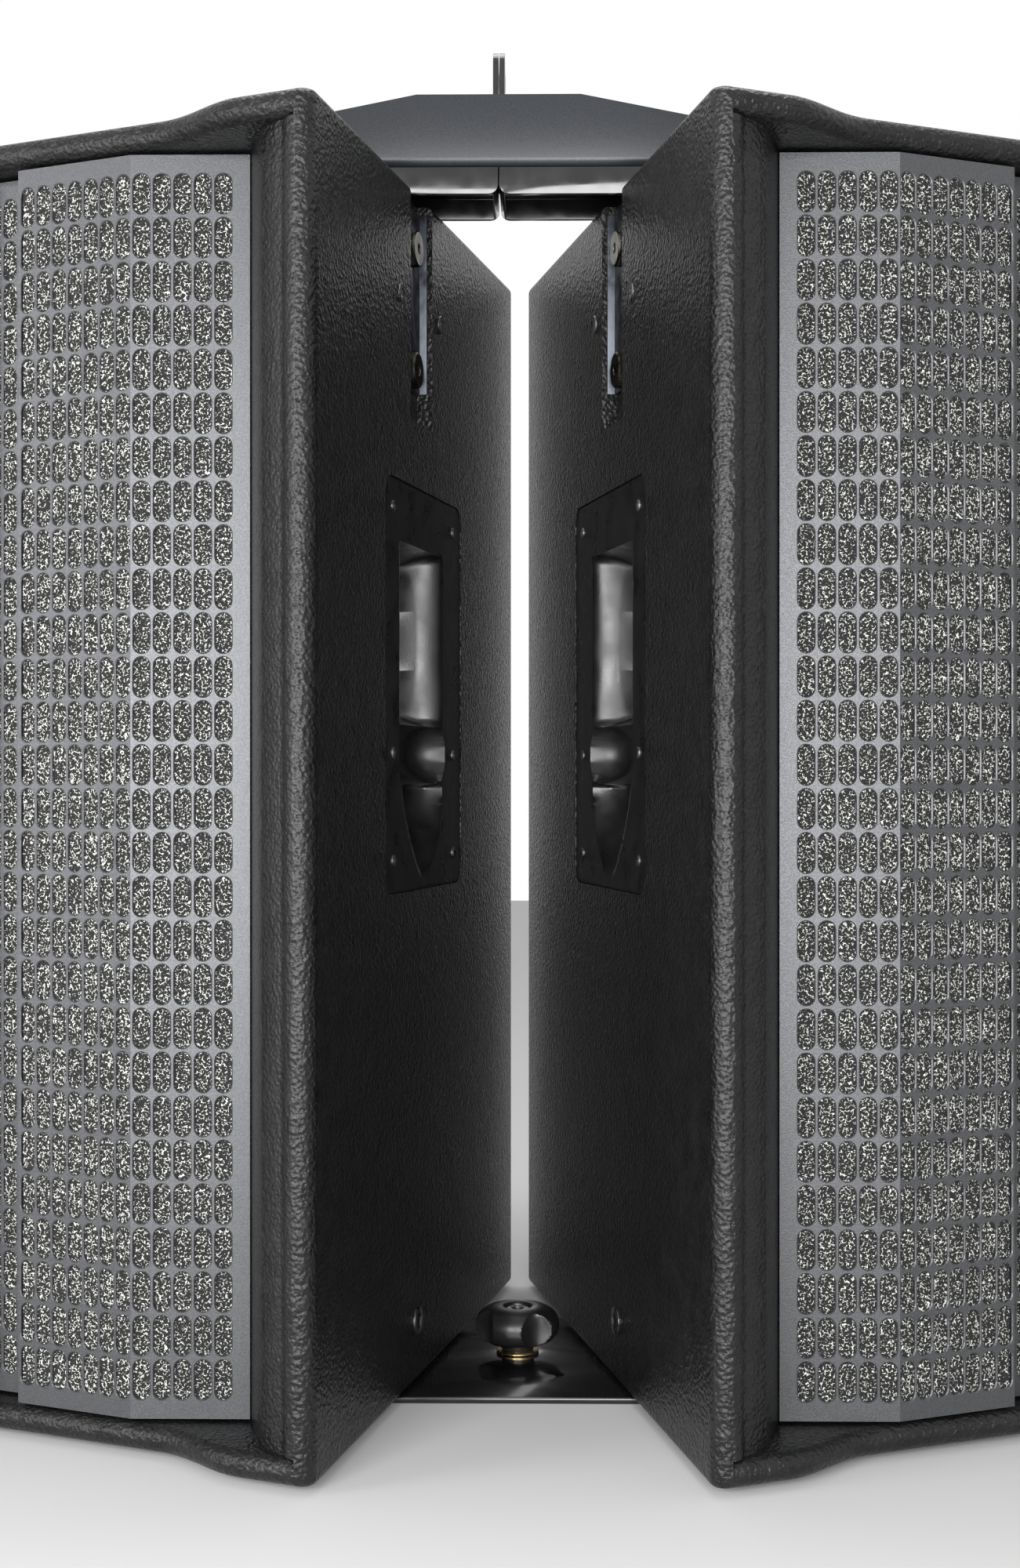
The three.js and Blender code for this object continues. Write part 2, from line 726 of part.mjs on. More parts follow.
function handleGeometry() {
  const { width, height, plate, sunk, recessHalfWidth, recessDepth, recessRadius, skin, grip, lip, trough, scoop } = handle;
  const face = -sunk;
  const flat = (x0, x1, z0, z1, radius, y0, y1) => thicken(roundedRectangle(x0, x1, z0, z1, radius), y0, y1);
  const outer = recessHalfWidth + skin;
  const tub = flat(-outer, outer, scoop.bottom - skin, grip.top + skin, recessRadius, 0, recessDepth + skin);
  const cover = flat(-width / 2, width / 2, -height / 2, height / 2, 14, 0, plate);
  const upper = flat(-recessHalfWidth, recessHalfWidth, grip.bottom, grip.top, recessRadius, -1, recessDepth);
  const middle = flat(trough.front, trough.rear, scoop.top - 1, grip.bottom + 1, 21, -1, trough.depth);
  const wedge = new THREE.Shape([
    new THREE.Vector2(-1, scoop.top), new THREE.Vector2(-1, scoop.bottom), new THREE.Vector2(4, scoop.bottom),
    new THREE.Vector2(scoop.depth, scoop.top - 22), new THREE.Vector2(scoop.depth, scoop.top),
  ]);
  // Drawn in depth and height, and given its width across the handle.
  const lower = new THREE.ExtrudeGeometry(wedge, { depth: 2 * (recessHalfWidth - 14), bevelEnabled: false });
  lower.applyMatrix4(new THREE.Matrix4().set(0, 0, 1, 14 - recessHalfWidth, 1, 0, 0, 0, 0, 1, 0, 0, 0, 0, 0, 1));
  // The grip is a lip over the rear of the upper recess, hollow behind for the fingers.
  const gripSection = [
    [lip.edge, lip.underside], [lip.edge, lip.drop], [lip.crest, 0], [recessHalfWidth + 1, 0],
    [recessHalfWidth + 1, lip.underside],
  ];
  const body = join(cut(join(tub, cover), upper, middle, lower), raise(gripSection.reverse(), grip.bottom - 1, grip.top + 1));
  // Modelled facing -y; a wall's outward direction is +x, and its y runs back.
  return body.rotateZ(Math.PI / 2).translate(face, handle.along, handle.centreHeight);
}

// ---- Rigging rails on the side walls ------------------------------------------------------------------------

const railTop = box.height - rail.below;
const railBack = -rail.pocketDepth + seatGap;
const discHeights = [0, 1].map((i) => box.height - disc.below - i * disc.pitch);

function railGeometry() {
  const half = rail.pocketWidth / 2 - seatGap;
  const lip = 8;
  const base = block(railBack, railBack + rail.sheet, rail.along - half, rail.along + half, railTop - rail.length, railTop);
  const lips = [-1, 1].map((side) => {
    const edge = rail.along + side * half;
    const inner = edge - side * rail.sheet;
    return block(railBack, railBack + lip, Math.min(edge, inner), Math.max(edge, inner), railTop - rail.length, railTop);
  });
  const holes = discHeights.map((z) =>
    cylinderX(discStem.radius + runningGap, railBack - 1, railBack + rail.sheet + 1, 8).translate(0, rail.along, z));
  return cut(join(base, ...lips), ...holes);
}

function cylinderX(radius, x0, x1, segments = 16) {
  return new THREE.CylinderGeometry(radius, radius, x1 - x0, segments).rotateZ(Math.PI / 2).translate((x0 + x1) / 2, 0, 0);
}

// A knurled clamping disc on a short stem, at the origin of its own axis, facing +x.
function discGeometry() {
  const face = rail.sheet + seatGap;
  const head = cylinderX(disc.diameter / 2, face, face + disc.thickness, 20);
  const stem = cylinderX(discStem.radius, face - discStem.length, face + 1, 8);
  const socketCut = cylinderX(disc.hex / 2 / cos(30), face + disc.thickness - disc.hexDepth, face + disc.thickness + 1, 6);
  return cut(join(head, stem), socketCut);
}

// ---- Pole cup and feet --------------------------------------------------------------------------------------

function poleCupGeometry() {
  const { flangeRadius, flangeThickness, wall, boreRadius, depth } = poleCup;
  const outer = boreRadius + wall;
  return cut(
    join(cylinderZ(flangeRadius, 0, flangeThickness, 20), cylinderZ(outer, 1, depth + wall, 20)),
    cylinderZ(boreRadius, -1, depth, 20),
  ).translate(0, poleCup.along, 0);
}

function footGeometry() {
  return cylinderZ(foot.radius, -seatGap - foot.thickness, -seatGap, 16);
}

const footPlaces = [
  ["front_inner", -halfWidth + 45, 45],
  ["front_outer", halfWidth - 45, 45],
  ["rear", 45, box.depth - 40],
];

// ---- Base plate and knob ------------------------------------------------------------------------------------

function basePlateGeometry() {
  const { halfWidth: half, front, depth, cornerCut, thickness } = basePlate;
  const back = front + depth;
  const outline = [
    [-half, front], [half, front], [half, back - cornerCut], [half - cornerCut, back],
    [-half + cornerCut, back], [-half, back - cornerCut],
  ];
  const spigots = [-1, 1].map((side) =>
    cylinderZ(basePlate.spigotRadius, thickness - 1, thickness + basePlate.spigotHeight).translate(
      side * basePlate.spigotX, front + basePlate.spigotBack, 0));
  const hole = cylinderZ(knob.spindleRadius + runningGap, -1, thickness + 1).translate(0, knob.back, 0);
  return cut(join(raise(outline, 0, thickness), ...spigots), hole);
}

const washerBottom = basePlate.thickness + seatGap;

// A rounded star grip with its neck and spindle, standing on the washer.
function knobGeometry() {
  const points = 32;
  const star = (inset) => Array.from({ length: points }, (_, i) => {
    const angle = (360 * i) / points;
    const r = knob.radius - inset - (knob.dentDepth * (1 - cos(angle * knob.lobes))) / 2;
    return [r * cos(angle + knob.turn), r * sin(angle + knob.turn)];
  });
  const steps = 4;
  const turn = Array.from({ length: steps + 1 }, (_, i) => {
    const angle = (90 * i) / steps;
    return [knob.edgeRadius * (1 - sin(angle)), knob.edgeRadius * (1 - cos(angle))];
  });
  const lower = turn.map(([inset, rise]) => ({ z: knob.bottom + basePlate.thickness + rise, outline: star(inset) }));
  const upper = turn.map(([inset, rise]) => ({ z: knob.top + basePlate.thickness - rise, outline: star(inset) }));
  const neckBottom = washerBottom + washer.thickness + seatGap;
  const top = knob.top + basePlate.thickness;
  return cut(
    join(
      loft([...lower, ...upper.reverse()]),
      cylinderZ(knob.neckRadius, neckBottom, knob.bottom + basePlate.thickness + 2, 16),
      cylinderZ(knob.spindleRadius, 1, neckBottom + 1, 16),
    ),
    cylinderZ(knob.crownRadius, top - knob.crownDepth, top + 1, 16),
  );
}

function washerGeometry() {
  return cut(
    cylinderZ(washer.radius, washerBottom, washerBottom + washer.thickness, 16),
    cylinderZ(knob.spindleRadius + runningGap, washerBottom - 1, washerBottom + washer.thickness + 1, 16),
  ).translate(0, knob.back, 0);
}

// ---- Top rig ------------------------------------------------------------------------------------------------

const channelBottom = topHeight + seatGap;
const channelTop = channelBottom + rig.channelHeight;
const bridgeBottom = channelTop + seatGap;

// The right-hand bracket: a downward-open channel over the cabinet, with a lifting lug standing at its inner end.
function bracketGeometry(boltX) {
  const inner = rig.tabGap / 2;
  const outer = inner + rig.channelLength;
  const back = rig.channelFront + rig.channelDepth;
  const body = block(inner, outer, rig.channelFront, back, channelBottom, channelTop);
  const hollow = block(inner + rig.sheet, outer + 1, rig.channelFront + rig.sheet, back - rig.sheet, channelBottom - 1,
    channelTop - rig.sheet);
  const middle = (rig.channelFront + back) / 2;
  const tabShape = roundedRectangle(-rig.tabWidth / 2, rig.tabWidth / 2, 0, rig.tabHeight, rig.tabCornerRadius);
  const tab = new THREE.ExtrudeGeometry(tabShape, { depth: rig.sheet, bevelEnabled: false, curveSegments: 5 })
    .applyMatrix4(new THREE.Matrix4().set(0, 0, 1, inner, 1, 0, 0, middle, 0, 1, 0, channelBottom, 0, 0, 0, 1));
  const lugHole = cylinderX(rig.lugHoleRadius, inner - 1, inner + rig.sheet + 1, 16).translate(
    0, middle, channelBottom + rig.lugHoleHeight);
  const boltHole = cylinderZ(bridgeBolt.shankRadius + runningGap, channelTop - rig.sheet - 1, channelTop + 1).translate(
    boltX, middle, 0);
  const radius = rig.cornerRadius;
  const lowerCorner = cut(
    block(inner - 1, inner + radius, rig.channelFront - 1, back + 1, channelBottom - 1, channelBottom + radius),
    cylinderY(radius, rig.channelFront - 2, back + 2, 16).translate(inner + radius, 0, channelBottom + radius),
  );
  return cut(join(cut(body, hollow), tab), lugHole, boltHole, lowerCorner);
}

function bridgeGeometry() {
  const { halfWidth: half, flatHalfWidth, slope, flangeHeight, depth, sheet, front } = bridge;
  const endHeight = flangeHeight - slope * (half - flatHalfWidth);
  const side = new THREE.Shape([
    new THREE.Vector2(-half, 0), new THREE.Vector2(half, 0), new THREE.Vector2(half, endHeight),
    new THREE.Vector2(flatHalfWidth, flangeHeight), new THREE.Vector2(-flatHalfWidth, flangeHeight),
    new THREE.Vector2(-half, endHeight),
  ]);
  const body = thicken(side, 0, depth);
  const hollow = block(-half - 1, half + 1, sheet, depth - sheet, sheet, flangeHeight + 1);
  const slotHalf = rig.tabWidth / 2 + bridge.slotMargin;
  const middle = rig.channelFront + rig.channelDepth / 2 - front;
  const slotX = rig.tabGap / 2 + rig.sheet + bridge.slotMargin;
  const slot = block(-slotX, slotX, middle - slotHalf, middle + slotHalf, -1, sheet + 1);
  const holes = [-1, 1].map((sign) =>
    cylinderZ(bridgeBolt.shankRadius + runningGap, -1, sheet + 1).translate(sign * bridgeBolt.x - rig.shift, middle, 0));
  return cut(body, hollow, slot, ...holes).translate(rig.shift, front, bridgeBottom);
}

function boltGeometry() {
  const seat = bridgeBottom + bridge.sheet + seatGap;
  const head = cylinderZ(bridgeBolt.headAcross / 2 / cos(30), seat, seat + bridgeBolt.headHeight, 6);
  return join(head, cylinderZ(bridgeBolt.shankRadius, topHeight - bridgeBolt.engagement + 1, seat + 1, 16));
}

// ---- Materials ----------------------------------------------------------------------------------------------

const finish = (color, roughness, metalness = 0) => new THREE.MeshStandardMaterial({ color, roughness, metalness });
const finishes = {
  coat: () => finish(0x232323, 0.55),
  board: () => finish(0x8a6c45, 0.8),
  grille: () => finish(0x55585b, 0.45, 0.3),
  foam: () => finish(0x161616, 1),
  casting: () => finish(0x1c1c1d, 0.4, 0.6),
  cone: () => finish(0x1e1d1c, 0.9),
  magnet: () => finish(0x303134, 0.5, 0.5),
  plastic: () => finish(0x101011, 0.35),
  steel: () => finish(0x77797c, 0.4, 0.9),
  gloss: () => finish(0x0c0c0d, 0.15, 0.2),
  powder: () => finish(0x1d1f22, 0.5, 0.2),
  disc: () => finish(0x3b3833, 0.35, 0.9),
  brass: () => finish(0xb0853c, 0.3, 1),
  rubber: () => finish(0x141414, 0.85),
};

// ---- Assembly -----------------------------------------------------------------------------------------------

function piece(name, geometry, material) {
  const mesh = new THREE.Mesh(geometry, material);
  mesh.name = name;
  return mesh;
}

// A side wall's own frame: x outward, y back along the wall from its front corner. The inner wall mirrors the outer.
function wallFrame(side) {
  const sign = side === "outer" ? 1 : -1;
  const mirror = new THREE.Group();
  mirror.scale.x = sign;
  const frame = new THREE.Group();
  frame.position.x = halfWidth;
  frame.rotation.z = rad(box.taper);
  mirror.add(frame);
  return { mirror, frame };
}

function wallPieces(prefix, side) {
  const { mirror, frame } = wallFrame(side);
  frame.add(piece(`${prefix}_${side}_handle`, handleGeometry(), finishes.plastic()));
  frame.add(piece(`${prefix}_${side}_rail`, railGeometry(), finishes.steel()));
  discHeights.forEach((z, i) => {
    const knurled = piece(`${prefix}_${side}_disc_${i + 1}`, discGeometry(), finishes.disc());
    knurled.position.set(railBack, rail.along, z);
    frame.add(knurled);
  });
  return mirror;
}

function cabinet(prefix) {
  const group = new THREE.Group();
  group.add(piece(`${prefix}_shell`, shellGeometry(), finishes.coat()));
  group.add(piece(`${prefix}_baffle`, baffleGeometry(), finishes.board()));
  group.add(piece(`${prefix}_grille`, grilleGeometry(), finishes.grille()));
  group.add(piece(`${prefix}_foam`, foamGeometry(), finishes.foam()));
  for (const [name, geometry, material] of [
    ["basket", basketGeometry(), finishes.casting()],
    ["cone", coneGeometry(), finishes.cone()],
    ["magnet", magnetGeometry(), finishes.magnet()],
  ]) {
    const part = piece(`${prefix}_woofer_${name}`, geometry, material);
    part.position.z = woofer.centreHeight;
    group.add(part);
  }
  group.add(piece(`${prefix}_horn`, hornGeometry(), finishes.plastic()));
  group.add(piece(`${prefix}_horn_driver`, driverGeometry(), finishes.magnet()));
  group.add(piece(`${prefix}_connector_panel`, panelGeometry(), finishes.powder()));
  [-1, 1].forEach((side, i) => {
    const part = piece(`${prefix}_socket_${i + 1}`, socketGeometry(), finishes.plastic());
    part.position.x = (side * socket.pitch) / 2;
    group.add(part);
  });
  group.add(piece(`${prefix}_crossover`, crossoverGeometry(), finishes.board()));
  group.add(piece(`${prefix}_pole_cup`, poleCupGeometry(), finishes.powder()));
  for (const [name, x, y] of footPlaces) {
    const part = piece(`${prefix}_foot_${name}`, footGeometry(), finishes.rubber());
    part.position.set(x, y, 0);
    group.add(part);
  }
  group.add(wallPieces(prefix, "inner"), wallPieces(prefix, "outer"));
  return group;
}

function standing(prefix, sign) {
  const half = new THREE.Group();
  half.scale.x = sign;
  const placed = cabinet(prefix);
  placed.position.copy(cabinetPlace());
  placed.rotation.z = rad(array.halfSplay);
  half.add(placed);
  return half;
}

function topRig() {
  const group = new THREE.Group();
  const right = piece("right_bracket", bracketGeometry(bridgeBolt.x - rig.shift), finishes.gloss());
  const left = piece("left_bracket", mirrorX(bracketGeometry(bridgeBolt.x + rig.shift)), finishes.gloss());
  [right, left].forEach((part) => (part.position.x = rig.shift));
  group.add(right, left, piece("bridge", bridgeGeometry(), finishes.powder()));
  [["right", 1], ["left", -1]].forEach(([side, sign]) => {
    const bolt = piece(`${side}_bridge_bolt`, boltGeometry(), finishes.steel());
    bolt.position.set(sign * bridgeBolt.x, rig.channelFront + rig.channelDepth / 2, 0);
    group.add(bolt);
  });
  return group;
}

function base() {
  const group = new THREE.Group();
  const grip = piece("clamp_knob", knobGeometry(), finishes.gloss());
  grip.position.set(0, knob.back, 0);
  group.add(piece("base_plate", basePlateGeometry(), finishes.gloss()), grip,
    piece("knob_washer", washerGeometry(), finishes.brass()));
  return group;
}

// The whole array, with its origin on the floor at the middle of its plan.
function centred(...groups) {
  const moved = new THREE.Group();
  moved.add(...groups);
  const extent = new THREE.Box3().setFromObject(moved, true);
  moved.position.y = -(extent.min.y + extent.max.y) / 2;
  const whole = new THREE.Group();
  whole.add(moved);
  return whole;
}

const lineArray = centred(standing("right", 1), standing("left", -1), topRig(), base());

export default lineArray;
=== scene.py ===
"""Two splayed trapezoid loudspeaker cabinets with their rigging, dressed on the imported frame.

Every size is in metres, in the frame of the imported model.
"""
import logging
import math
from dataclasses import dataclass, field
from enum import Enum
from typing import Callable, Iterable, Sequence

import bmesh
import bpy
from mathutils import Matrix, Vector


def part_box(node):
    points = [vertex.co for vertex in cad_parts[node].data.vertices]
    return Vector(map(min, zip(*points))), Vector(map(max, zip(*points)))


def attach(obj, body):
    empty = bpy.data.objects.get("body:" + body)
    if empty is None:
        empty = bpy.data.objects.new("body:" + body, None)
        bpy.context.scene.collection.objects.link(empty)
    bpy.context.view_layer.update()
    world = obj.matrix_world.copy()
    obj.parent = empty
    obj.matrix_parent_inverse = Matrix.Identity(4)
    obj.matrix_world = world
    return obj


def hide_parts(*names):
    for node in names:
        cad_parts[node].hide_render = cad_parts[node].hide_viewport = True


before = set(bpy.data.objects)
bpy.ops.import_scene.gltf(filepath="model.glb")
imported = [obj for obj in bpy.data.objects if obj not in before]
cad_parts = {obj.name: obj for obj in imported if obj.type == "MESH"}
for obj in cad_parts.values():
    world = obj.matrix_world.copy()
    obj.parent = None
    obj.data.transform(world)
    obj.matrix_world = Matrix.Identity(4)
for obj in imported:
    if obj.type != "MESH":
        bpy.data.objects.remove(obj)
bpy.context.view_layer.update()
LOG = logging.getLogger("line_array")
Point = Sequence[float]
Tree = bpy.types.NodeTree
Node = bpy.types.Node
Socket = bpy.types.NodeSocket


class Side(Enum):
    """Which cabinet a piece belongs to, with the sign of its X."""

    RIGHT = 1
    LEFT = -1

    @property
    def label(self) -> str:
        """The side's name as the nodes spell it."""
        return self.name.lower()


class Wall(Enum):
    """Which side wall of a cabinet a piece belongs to, with the sign of its local x."""

    OUTER = 1
    INNER = -1

    @property
    def label(self) -> str:
        """The wall's name as the nodes spell it."""
        return self.name.lower()


class Surface(Enum):
    """How a finish's surface is made up."""

    COAT = "coat"
    POWDER = "powder"
    MOULDED = "moulded"
    BRUSHED = "brushed"
    FOAM = "foam"
    BOARD = "board"


@dataclass(frozen=True)
class Finish:
    """A surface finish, with the sizes of its texture in metres."""

    name: str
    surface: Surface
    dark: tuple[float, float, float]
    light: tuple[float, float, float]
    roughness: float
    metallic: float = 0.0
    grain: float = 0.002
    bump: float = 0.3
    depth: float = 0.0004
    coat: float = 0.0
    coat_roughness: float = 0.1
    roughness_spread: float = 0.1
    specular: float = 0.5


COAT = Finish(
    "textured_coat", Surface.COAT, (0.004, 0.004, 0.0042), (0.009, 0.009, 0.009), 0.33, 0, 0.0028, 1.0, 0.0011,
    specular=0.3)
GRILLE = Finish(
    "anthracite_powder", Surface.POWDER, (0.05, 0.052, 0.055), (0.078, 0.081, 0.086), 0.36, 0.5, 0.0009, 0.35, 0.00025)
# The foam's pale light colour is a painted highlight on its strands; the foam itself is black.
FOAM = Finish("reticulated_foam", Surface.FOAM, (0.002, 0.002, 0.002), (0.62, 0.62, 0.58), 0.85, 0, 0.0021, 0.6, 0.0006)
BLACK_POWDER = Finish(
    "black_powder", Surface.POWDER, (0.016, 0.018, 0.022), (0.024, 0.027, 0.032), 0.34, 0.15, 0.0008, 0.2, 0.00015)
GLOSS_BLACK = Finish(
    "gloss_black", Surface.MOULDED, (0.004, 0.004, 0.0045), (0.007, 0.007, 0.008), 0.12, 0, 0.012, 0.04, 0.0002, 0.4)
SATIN_BLACK = Finish(
    "satin_black", Surface.MOULDED, (0.007, 0.007, 0.008), (0.014, 0.014, 0.015), 0.3, 0, 0.0012, 0.1, 0.00012)
GRIP_PLASTIC = Finish(
    "moulded_grip", Surface.MOULDED, (0.006, 0.006, 0.0065), (0.012, 0.012, 0.013), 0.3, 0, 0.0009, 0.35, 0.00016)
MATT_PLASTIC = Finish(
    "matt_moulding", Surface.MOULDED, (0.012, 0.012, 0.013), (0.02, 0.02, 0.021), 0.5, 0, 0.0008, 0.2, 0.0002)
ZINC = Finish("zinc_plate", Surface.BRUSHED, (0.2, 0.2, 0.205), (0.42, 0.42, 0.43), 0.3, 1, 0.004, 0.15, 0.0001)
RAIL_STEEL = Finish(
    "dark_zinc", Surface.BRUSHED, (0.045, 0.05, 0.06), (0.12, 0.13, 0.15), 0.34, 0.85, 0.003, 0.15, 0.0001)
DARK_STEEL = Finish(
    "dark_plate", Surface.BRUSHED, (0.05, 0.046, 0.04), (0.15, 0.138, 0.12), 0.3, 1, 0.002, 0.15, 0.0001)
BRASS = Finish("turned_brass", Surface.BRUSHED, (0.5, 0.34, 0.13), (0.85, 0.65, 0.34), 0.24, 1, 0.003, 0.15, 0.0001)
RUBBER = Finish("foot_rubber", Surface.MOULDED, (0.012, 0.012, 0.012), (0.02, 0.02, 0.02), 0.8, 0, 0.001, 0.3, 0.0003)
STAINED_PLY = Finish(
    "stained_ply", Surface.BOARD, (0.01, 0.009, 0.008), (0.03, 0.027, 0.024), 0.7, 0, 0.003, 0.3, 0.0003)
CIRCUIT = Finish("circuit_board", Surface.MOULDED, (0.01, 0.06, 0.03), (0.02, 0.11, 0.05), 0.4, 0, 0.004, 0.1, 0.0002)
CONE_PAPER = Finish(
    "treated_paper", Surface.MOULDED, (0.01, 0.01, 0.01), (0.025, 0.024, 0.023), 0.75, 0, 0.002, 0.4, 0.0003)
CASTING = Finish(
    "painted_casting", Surface.POWDER, (0.015, 0.015, 0.016), (0.03, 0.03, 0.032), 0.5, 0.3, 0.002, 0.2, 0.0003)


class FinishBook:
    """Makes each finish's node material once."""

    def __init__(self) -> None:
        """Starts with no materials."""
        self._made: dict[str, bpy.types.Material] = {}

    def get(self, finish: Finish) -> bpy.types.Material:
        """The material of a finish.

        Args:
            finish: The finish to make or find.

        Returns:
            Its material.
        """
        if finish.name not in self._made:
            self._made[finish.name] = self._build(finish)
        return self._made[finish.name]

    def _build(self, finish: Finish) -> bpy.types.Material:
        """Builds a finish's node tree.

        Args:
            finish: The finish.

        Returns:
            The new material.
        """
        material = bpy.data.materials.new(finish.name)
        material.use_nodes = True
        tree = material.node_tree
        shader = tree.nodes["Principled BSDF"]
        shader.inputs["Metallic"].default_value = finish.metallic
        shader.inputs["Coat Weight"].default_value = finish.coat
        shader.inputs["Coat Roughness"].default_value = finish.coat_roughness
        shader.inputs["Specular IOR Level"].default_value = finish.specular
        place = tree.nodes.new("ShaderNodeTexCoord").outputs["Object"]
        {
            Surface.COAT: self._coat,
            Surface.POWDER: self._powder,
            Surface.MOULDED: self._moulded,
            Surface.BRUSHED: self._brushed,
            Surface.FOAM: self._foam,
            Surface.BOARD: self._board,
        }[finish.surface](tree, shader, place, finish)
        return material

    @staticmethod
    def _noise(tree: Tree, place: Socket, scale: float, detail: float = 3.0) -> Socket:
        """Adds a noise texture and returns its value.

        Args:
            tree: The material's node tree.
            place: Where the texture is read.
            scale: The texture's scale, per metre.
            detail: How many finer layers it has.

        Returns:
            The noise's value.
        """
        node = tree.nodes.new("ShaderNodeTexNoise")
        node.inputs["Scale"].default_value = scale
        node.inputs["Detail"].default_value = detail
        tree.links.new(place, node.inputs["Vector"])
        return node.outputs["Fac"]

    @staticmethod
    def _cells(tree: Tree, place: Socket, scale: float, feature: str) -> Socket:
        """Adds a Voronoi texture and returns its distance.

        Args:
            tree: The material's node tree.
            place: Where the texture is read.
            scale: The texture's scale, per metre.
            feature: Which Voronoi feature is read.

        Returns:
            The distance.
        """
        node = tree.nodes.new("ShaderNodeTexVoronoi")
        node.feature = feature
        node.inputs["Scale"].default_value = scale
        tree.links.new(place, node.inputs["Vector"])
        return node.outputs["Distance"]

    @staticmethod
    def _span(tree: Tree, value: Socket, low: float, high: float, to_low: float, to_high: float) -> Socket:
        """Maps a value's span to another and returns the result.

        Args:
            tree: The material's node tree.
            value: The value to map.
            low: The span's low end.
            high: The span's high end.
            to_low: What the low end becomes.
            to_high: What the high end becomes.

        Returns:
            The mapped value.
        """
        node = tree.nodes.new("ShaderNodeMapRange")
        for name, number in zip(("From Min", "From Max", "To Min", "To Max"), (low, high, to_low, to_high)):
            node.inputs[name].default_value = number
        tree.links.new(value, node.inputs["Value"])
        return node.outputs["Result"]

    @staticmethod
    def _blend(tree: Tree, shader: Node, factor: Socket, finish: Finish) -> None:
        """Colours the shader between a finish's dark and light by a factor.

        Args:
            tree: The material's node tree.
            shader: The shader to set.
            factor: 0 for dark and 1 for light.
            finish: The finish.
        """
        ramp = tree.nodes.new("ShaderNodeValToRGB")
        ramp.color_ramp.elements[0].position = 0.3
        ramp.color_ramp.elements[1].position = 0.7
        ramp.color_ramp.elements[0].color = (*finish.dark, 1)
        ramp.color_ramp.elements[1].color = (*finish.light, 1)
        tree.links.new(factor, ramp.inputs["Fac"])
        tree.links.new(ramp.outputs["Color"], shader.inputs["Base Color"])

    @staticmethod
    def _bump(tree: Tree, height: Socket, strength: float, depth: float, below: Socket | None = None) -> Socket:
        """Adds a bump layer and returns its normal.

        Args:
            tree: The material's node tree.
            height: The height to raise.
            strength: How strong the bump is.
            depth: How deep it is, in metres.
            below: The layer under it.

        Returns:
            The layer's normal.
        """
        node = tree.nodes.new("ShaderNodeBump")
        node.inputs["Strength"].default_value = strength
        node.inputs["Distance"].default_value = depth
        tree.links.new(height, node.inputs["Height"])
        if below is not None:
            tree.links.new(below, node.inputs["Normal"])
        return node.outputs["Normal"]

    def _coat(self, tree: Tree, shader: Node, place: Socket, finish: Finish) -> None:
        """A sprayed coat: soft wrinkled lumps, with finer ones on top.

        Args:
            tree: The material's node tree.
            shader: The shader to set.
            place: Where the texture is read.
            finish: The finish.
        """
        lumps = self._noise(tree, place, 0.42 / finish.grain, 2.0)
        pebbles = self._cells(tree, place, 1.0 / finish.grain, "SMOOTH_F1")
        fine = self._noise(tree, place, 2.2 / finish.grain, 2.0)
        normal = self._bump(tree, lumps, finish.bump * 0.5, finish.depth)
        normal = self._bump(tree, pebbles, finish.bump, finish.depth, normal)
        normal = self._bump(tree, fine, finish.bump * 0.8, finish.depth * 0.4, normal)
        tree.links.new(normal, shader.inputs["Normal"])
        self._blend(tree, shader, self._noise(tree, place, 60.0, 4.0), finish)
        rough = self._span(tree, fine, 0.3, 0.7, finish.roughness - 0.08, finish.roughness + 0.12)
        tree.links.new(rough, shader.inputs["Roughness"])

    def _powder(self, tree: Tree, shader: Node, place: Socket, finish: Finish) -> None:
        """A powder coat: a fine, even orange peel.

        Args:
            tree: The material's node tree.
            shader: The shader to set.
            place: Where the texture is read.
            finish: The finish.
        """
        peel = self._noise(tree, place, 1.0 / finish.grain, 2.0)
        tree.links.new(self._bump(tree, peel, finish.bump, finish.depth), shader.inputs["Normal"])
        self._blend(tree, shader, self._noise(tree, place, 900.0, 2.0), finish)
        rough = self._span(tree, peel, 0.3, 0.7, finish.roughness - 0.05, finish.roughness + 0.08)
        tree.links.new(rough, shader.inputs["Roughness"])

    def _moulded(self, tree: Tree, shader: Node, place: Socket, finish: Finish) -> None:
        """Moulded or sprayed black: nearly smooth, with faint handling marks.

        Args:
            tree: The material's node tree.
            shader: The shader to set.
            place: Where the texture is read.
            finish: The finish.
        """
        grain = self._noise(tree, place, 1.0 / finish.grain, 2.0)
        marks = self._noise(tree, place, 45.0, 6.0)
        tree.links.new(self._bump(tree, grain, finish.bump, finish.depth), shader.inputs["Normal"])
        self._blend(tree, shader, marks, finish)
        rough = self._span(tree, marks, 0.35, 0.65, finish.roughness - 0.04, finish.roughness + finish.roughness_spread)
        tree.links.new(rough, shader.inputs["Roughness"])

    def _brushed(self, tree: Tree, shader: Node, place: Socket, finish: Finish) -> None:
        """Plated or turned metal: fine lines one way and cloudy patches.

        Args:
            tree: The material's node tree.
            shader: The shader to set.
            place: Where the texture is read.
            finish: The finish.
        """
        stretch = tree.nodes.new("ShaderNodeMapping")
        stretch.inputs["Scale"].default_value = (1.0, 1.0, 0.06)
        tree.links.new(place, stretch.inputs["Vector"])
        lines = self._noise(tree, stretch.outputs["Vector"], 5.0 / finish.grain, 3.0)
        clouds = self._noise(tree, place, 90.0, 5.0)
        tree.links.new(self._bump(tree, lines, finish.bump, finish.depth), shader.inputs["Normal"])
        self._blend(tree, shader, clouds, finish)
        rough = self._span(tree, clouds, 0.3, 0.7, finish.roughness - 0.08, finish.roughness + 0.14)
        tree.links.new(rough, shader.inputs["Roughness"])

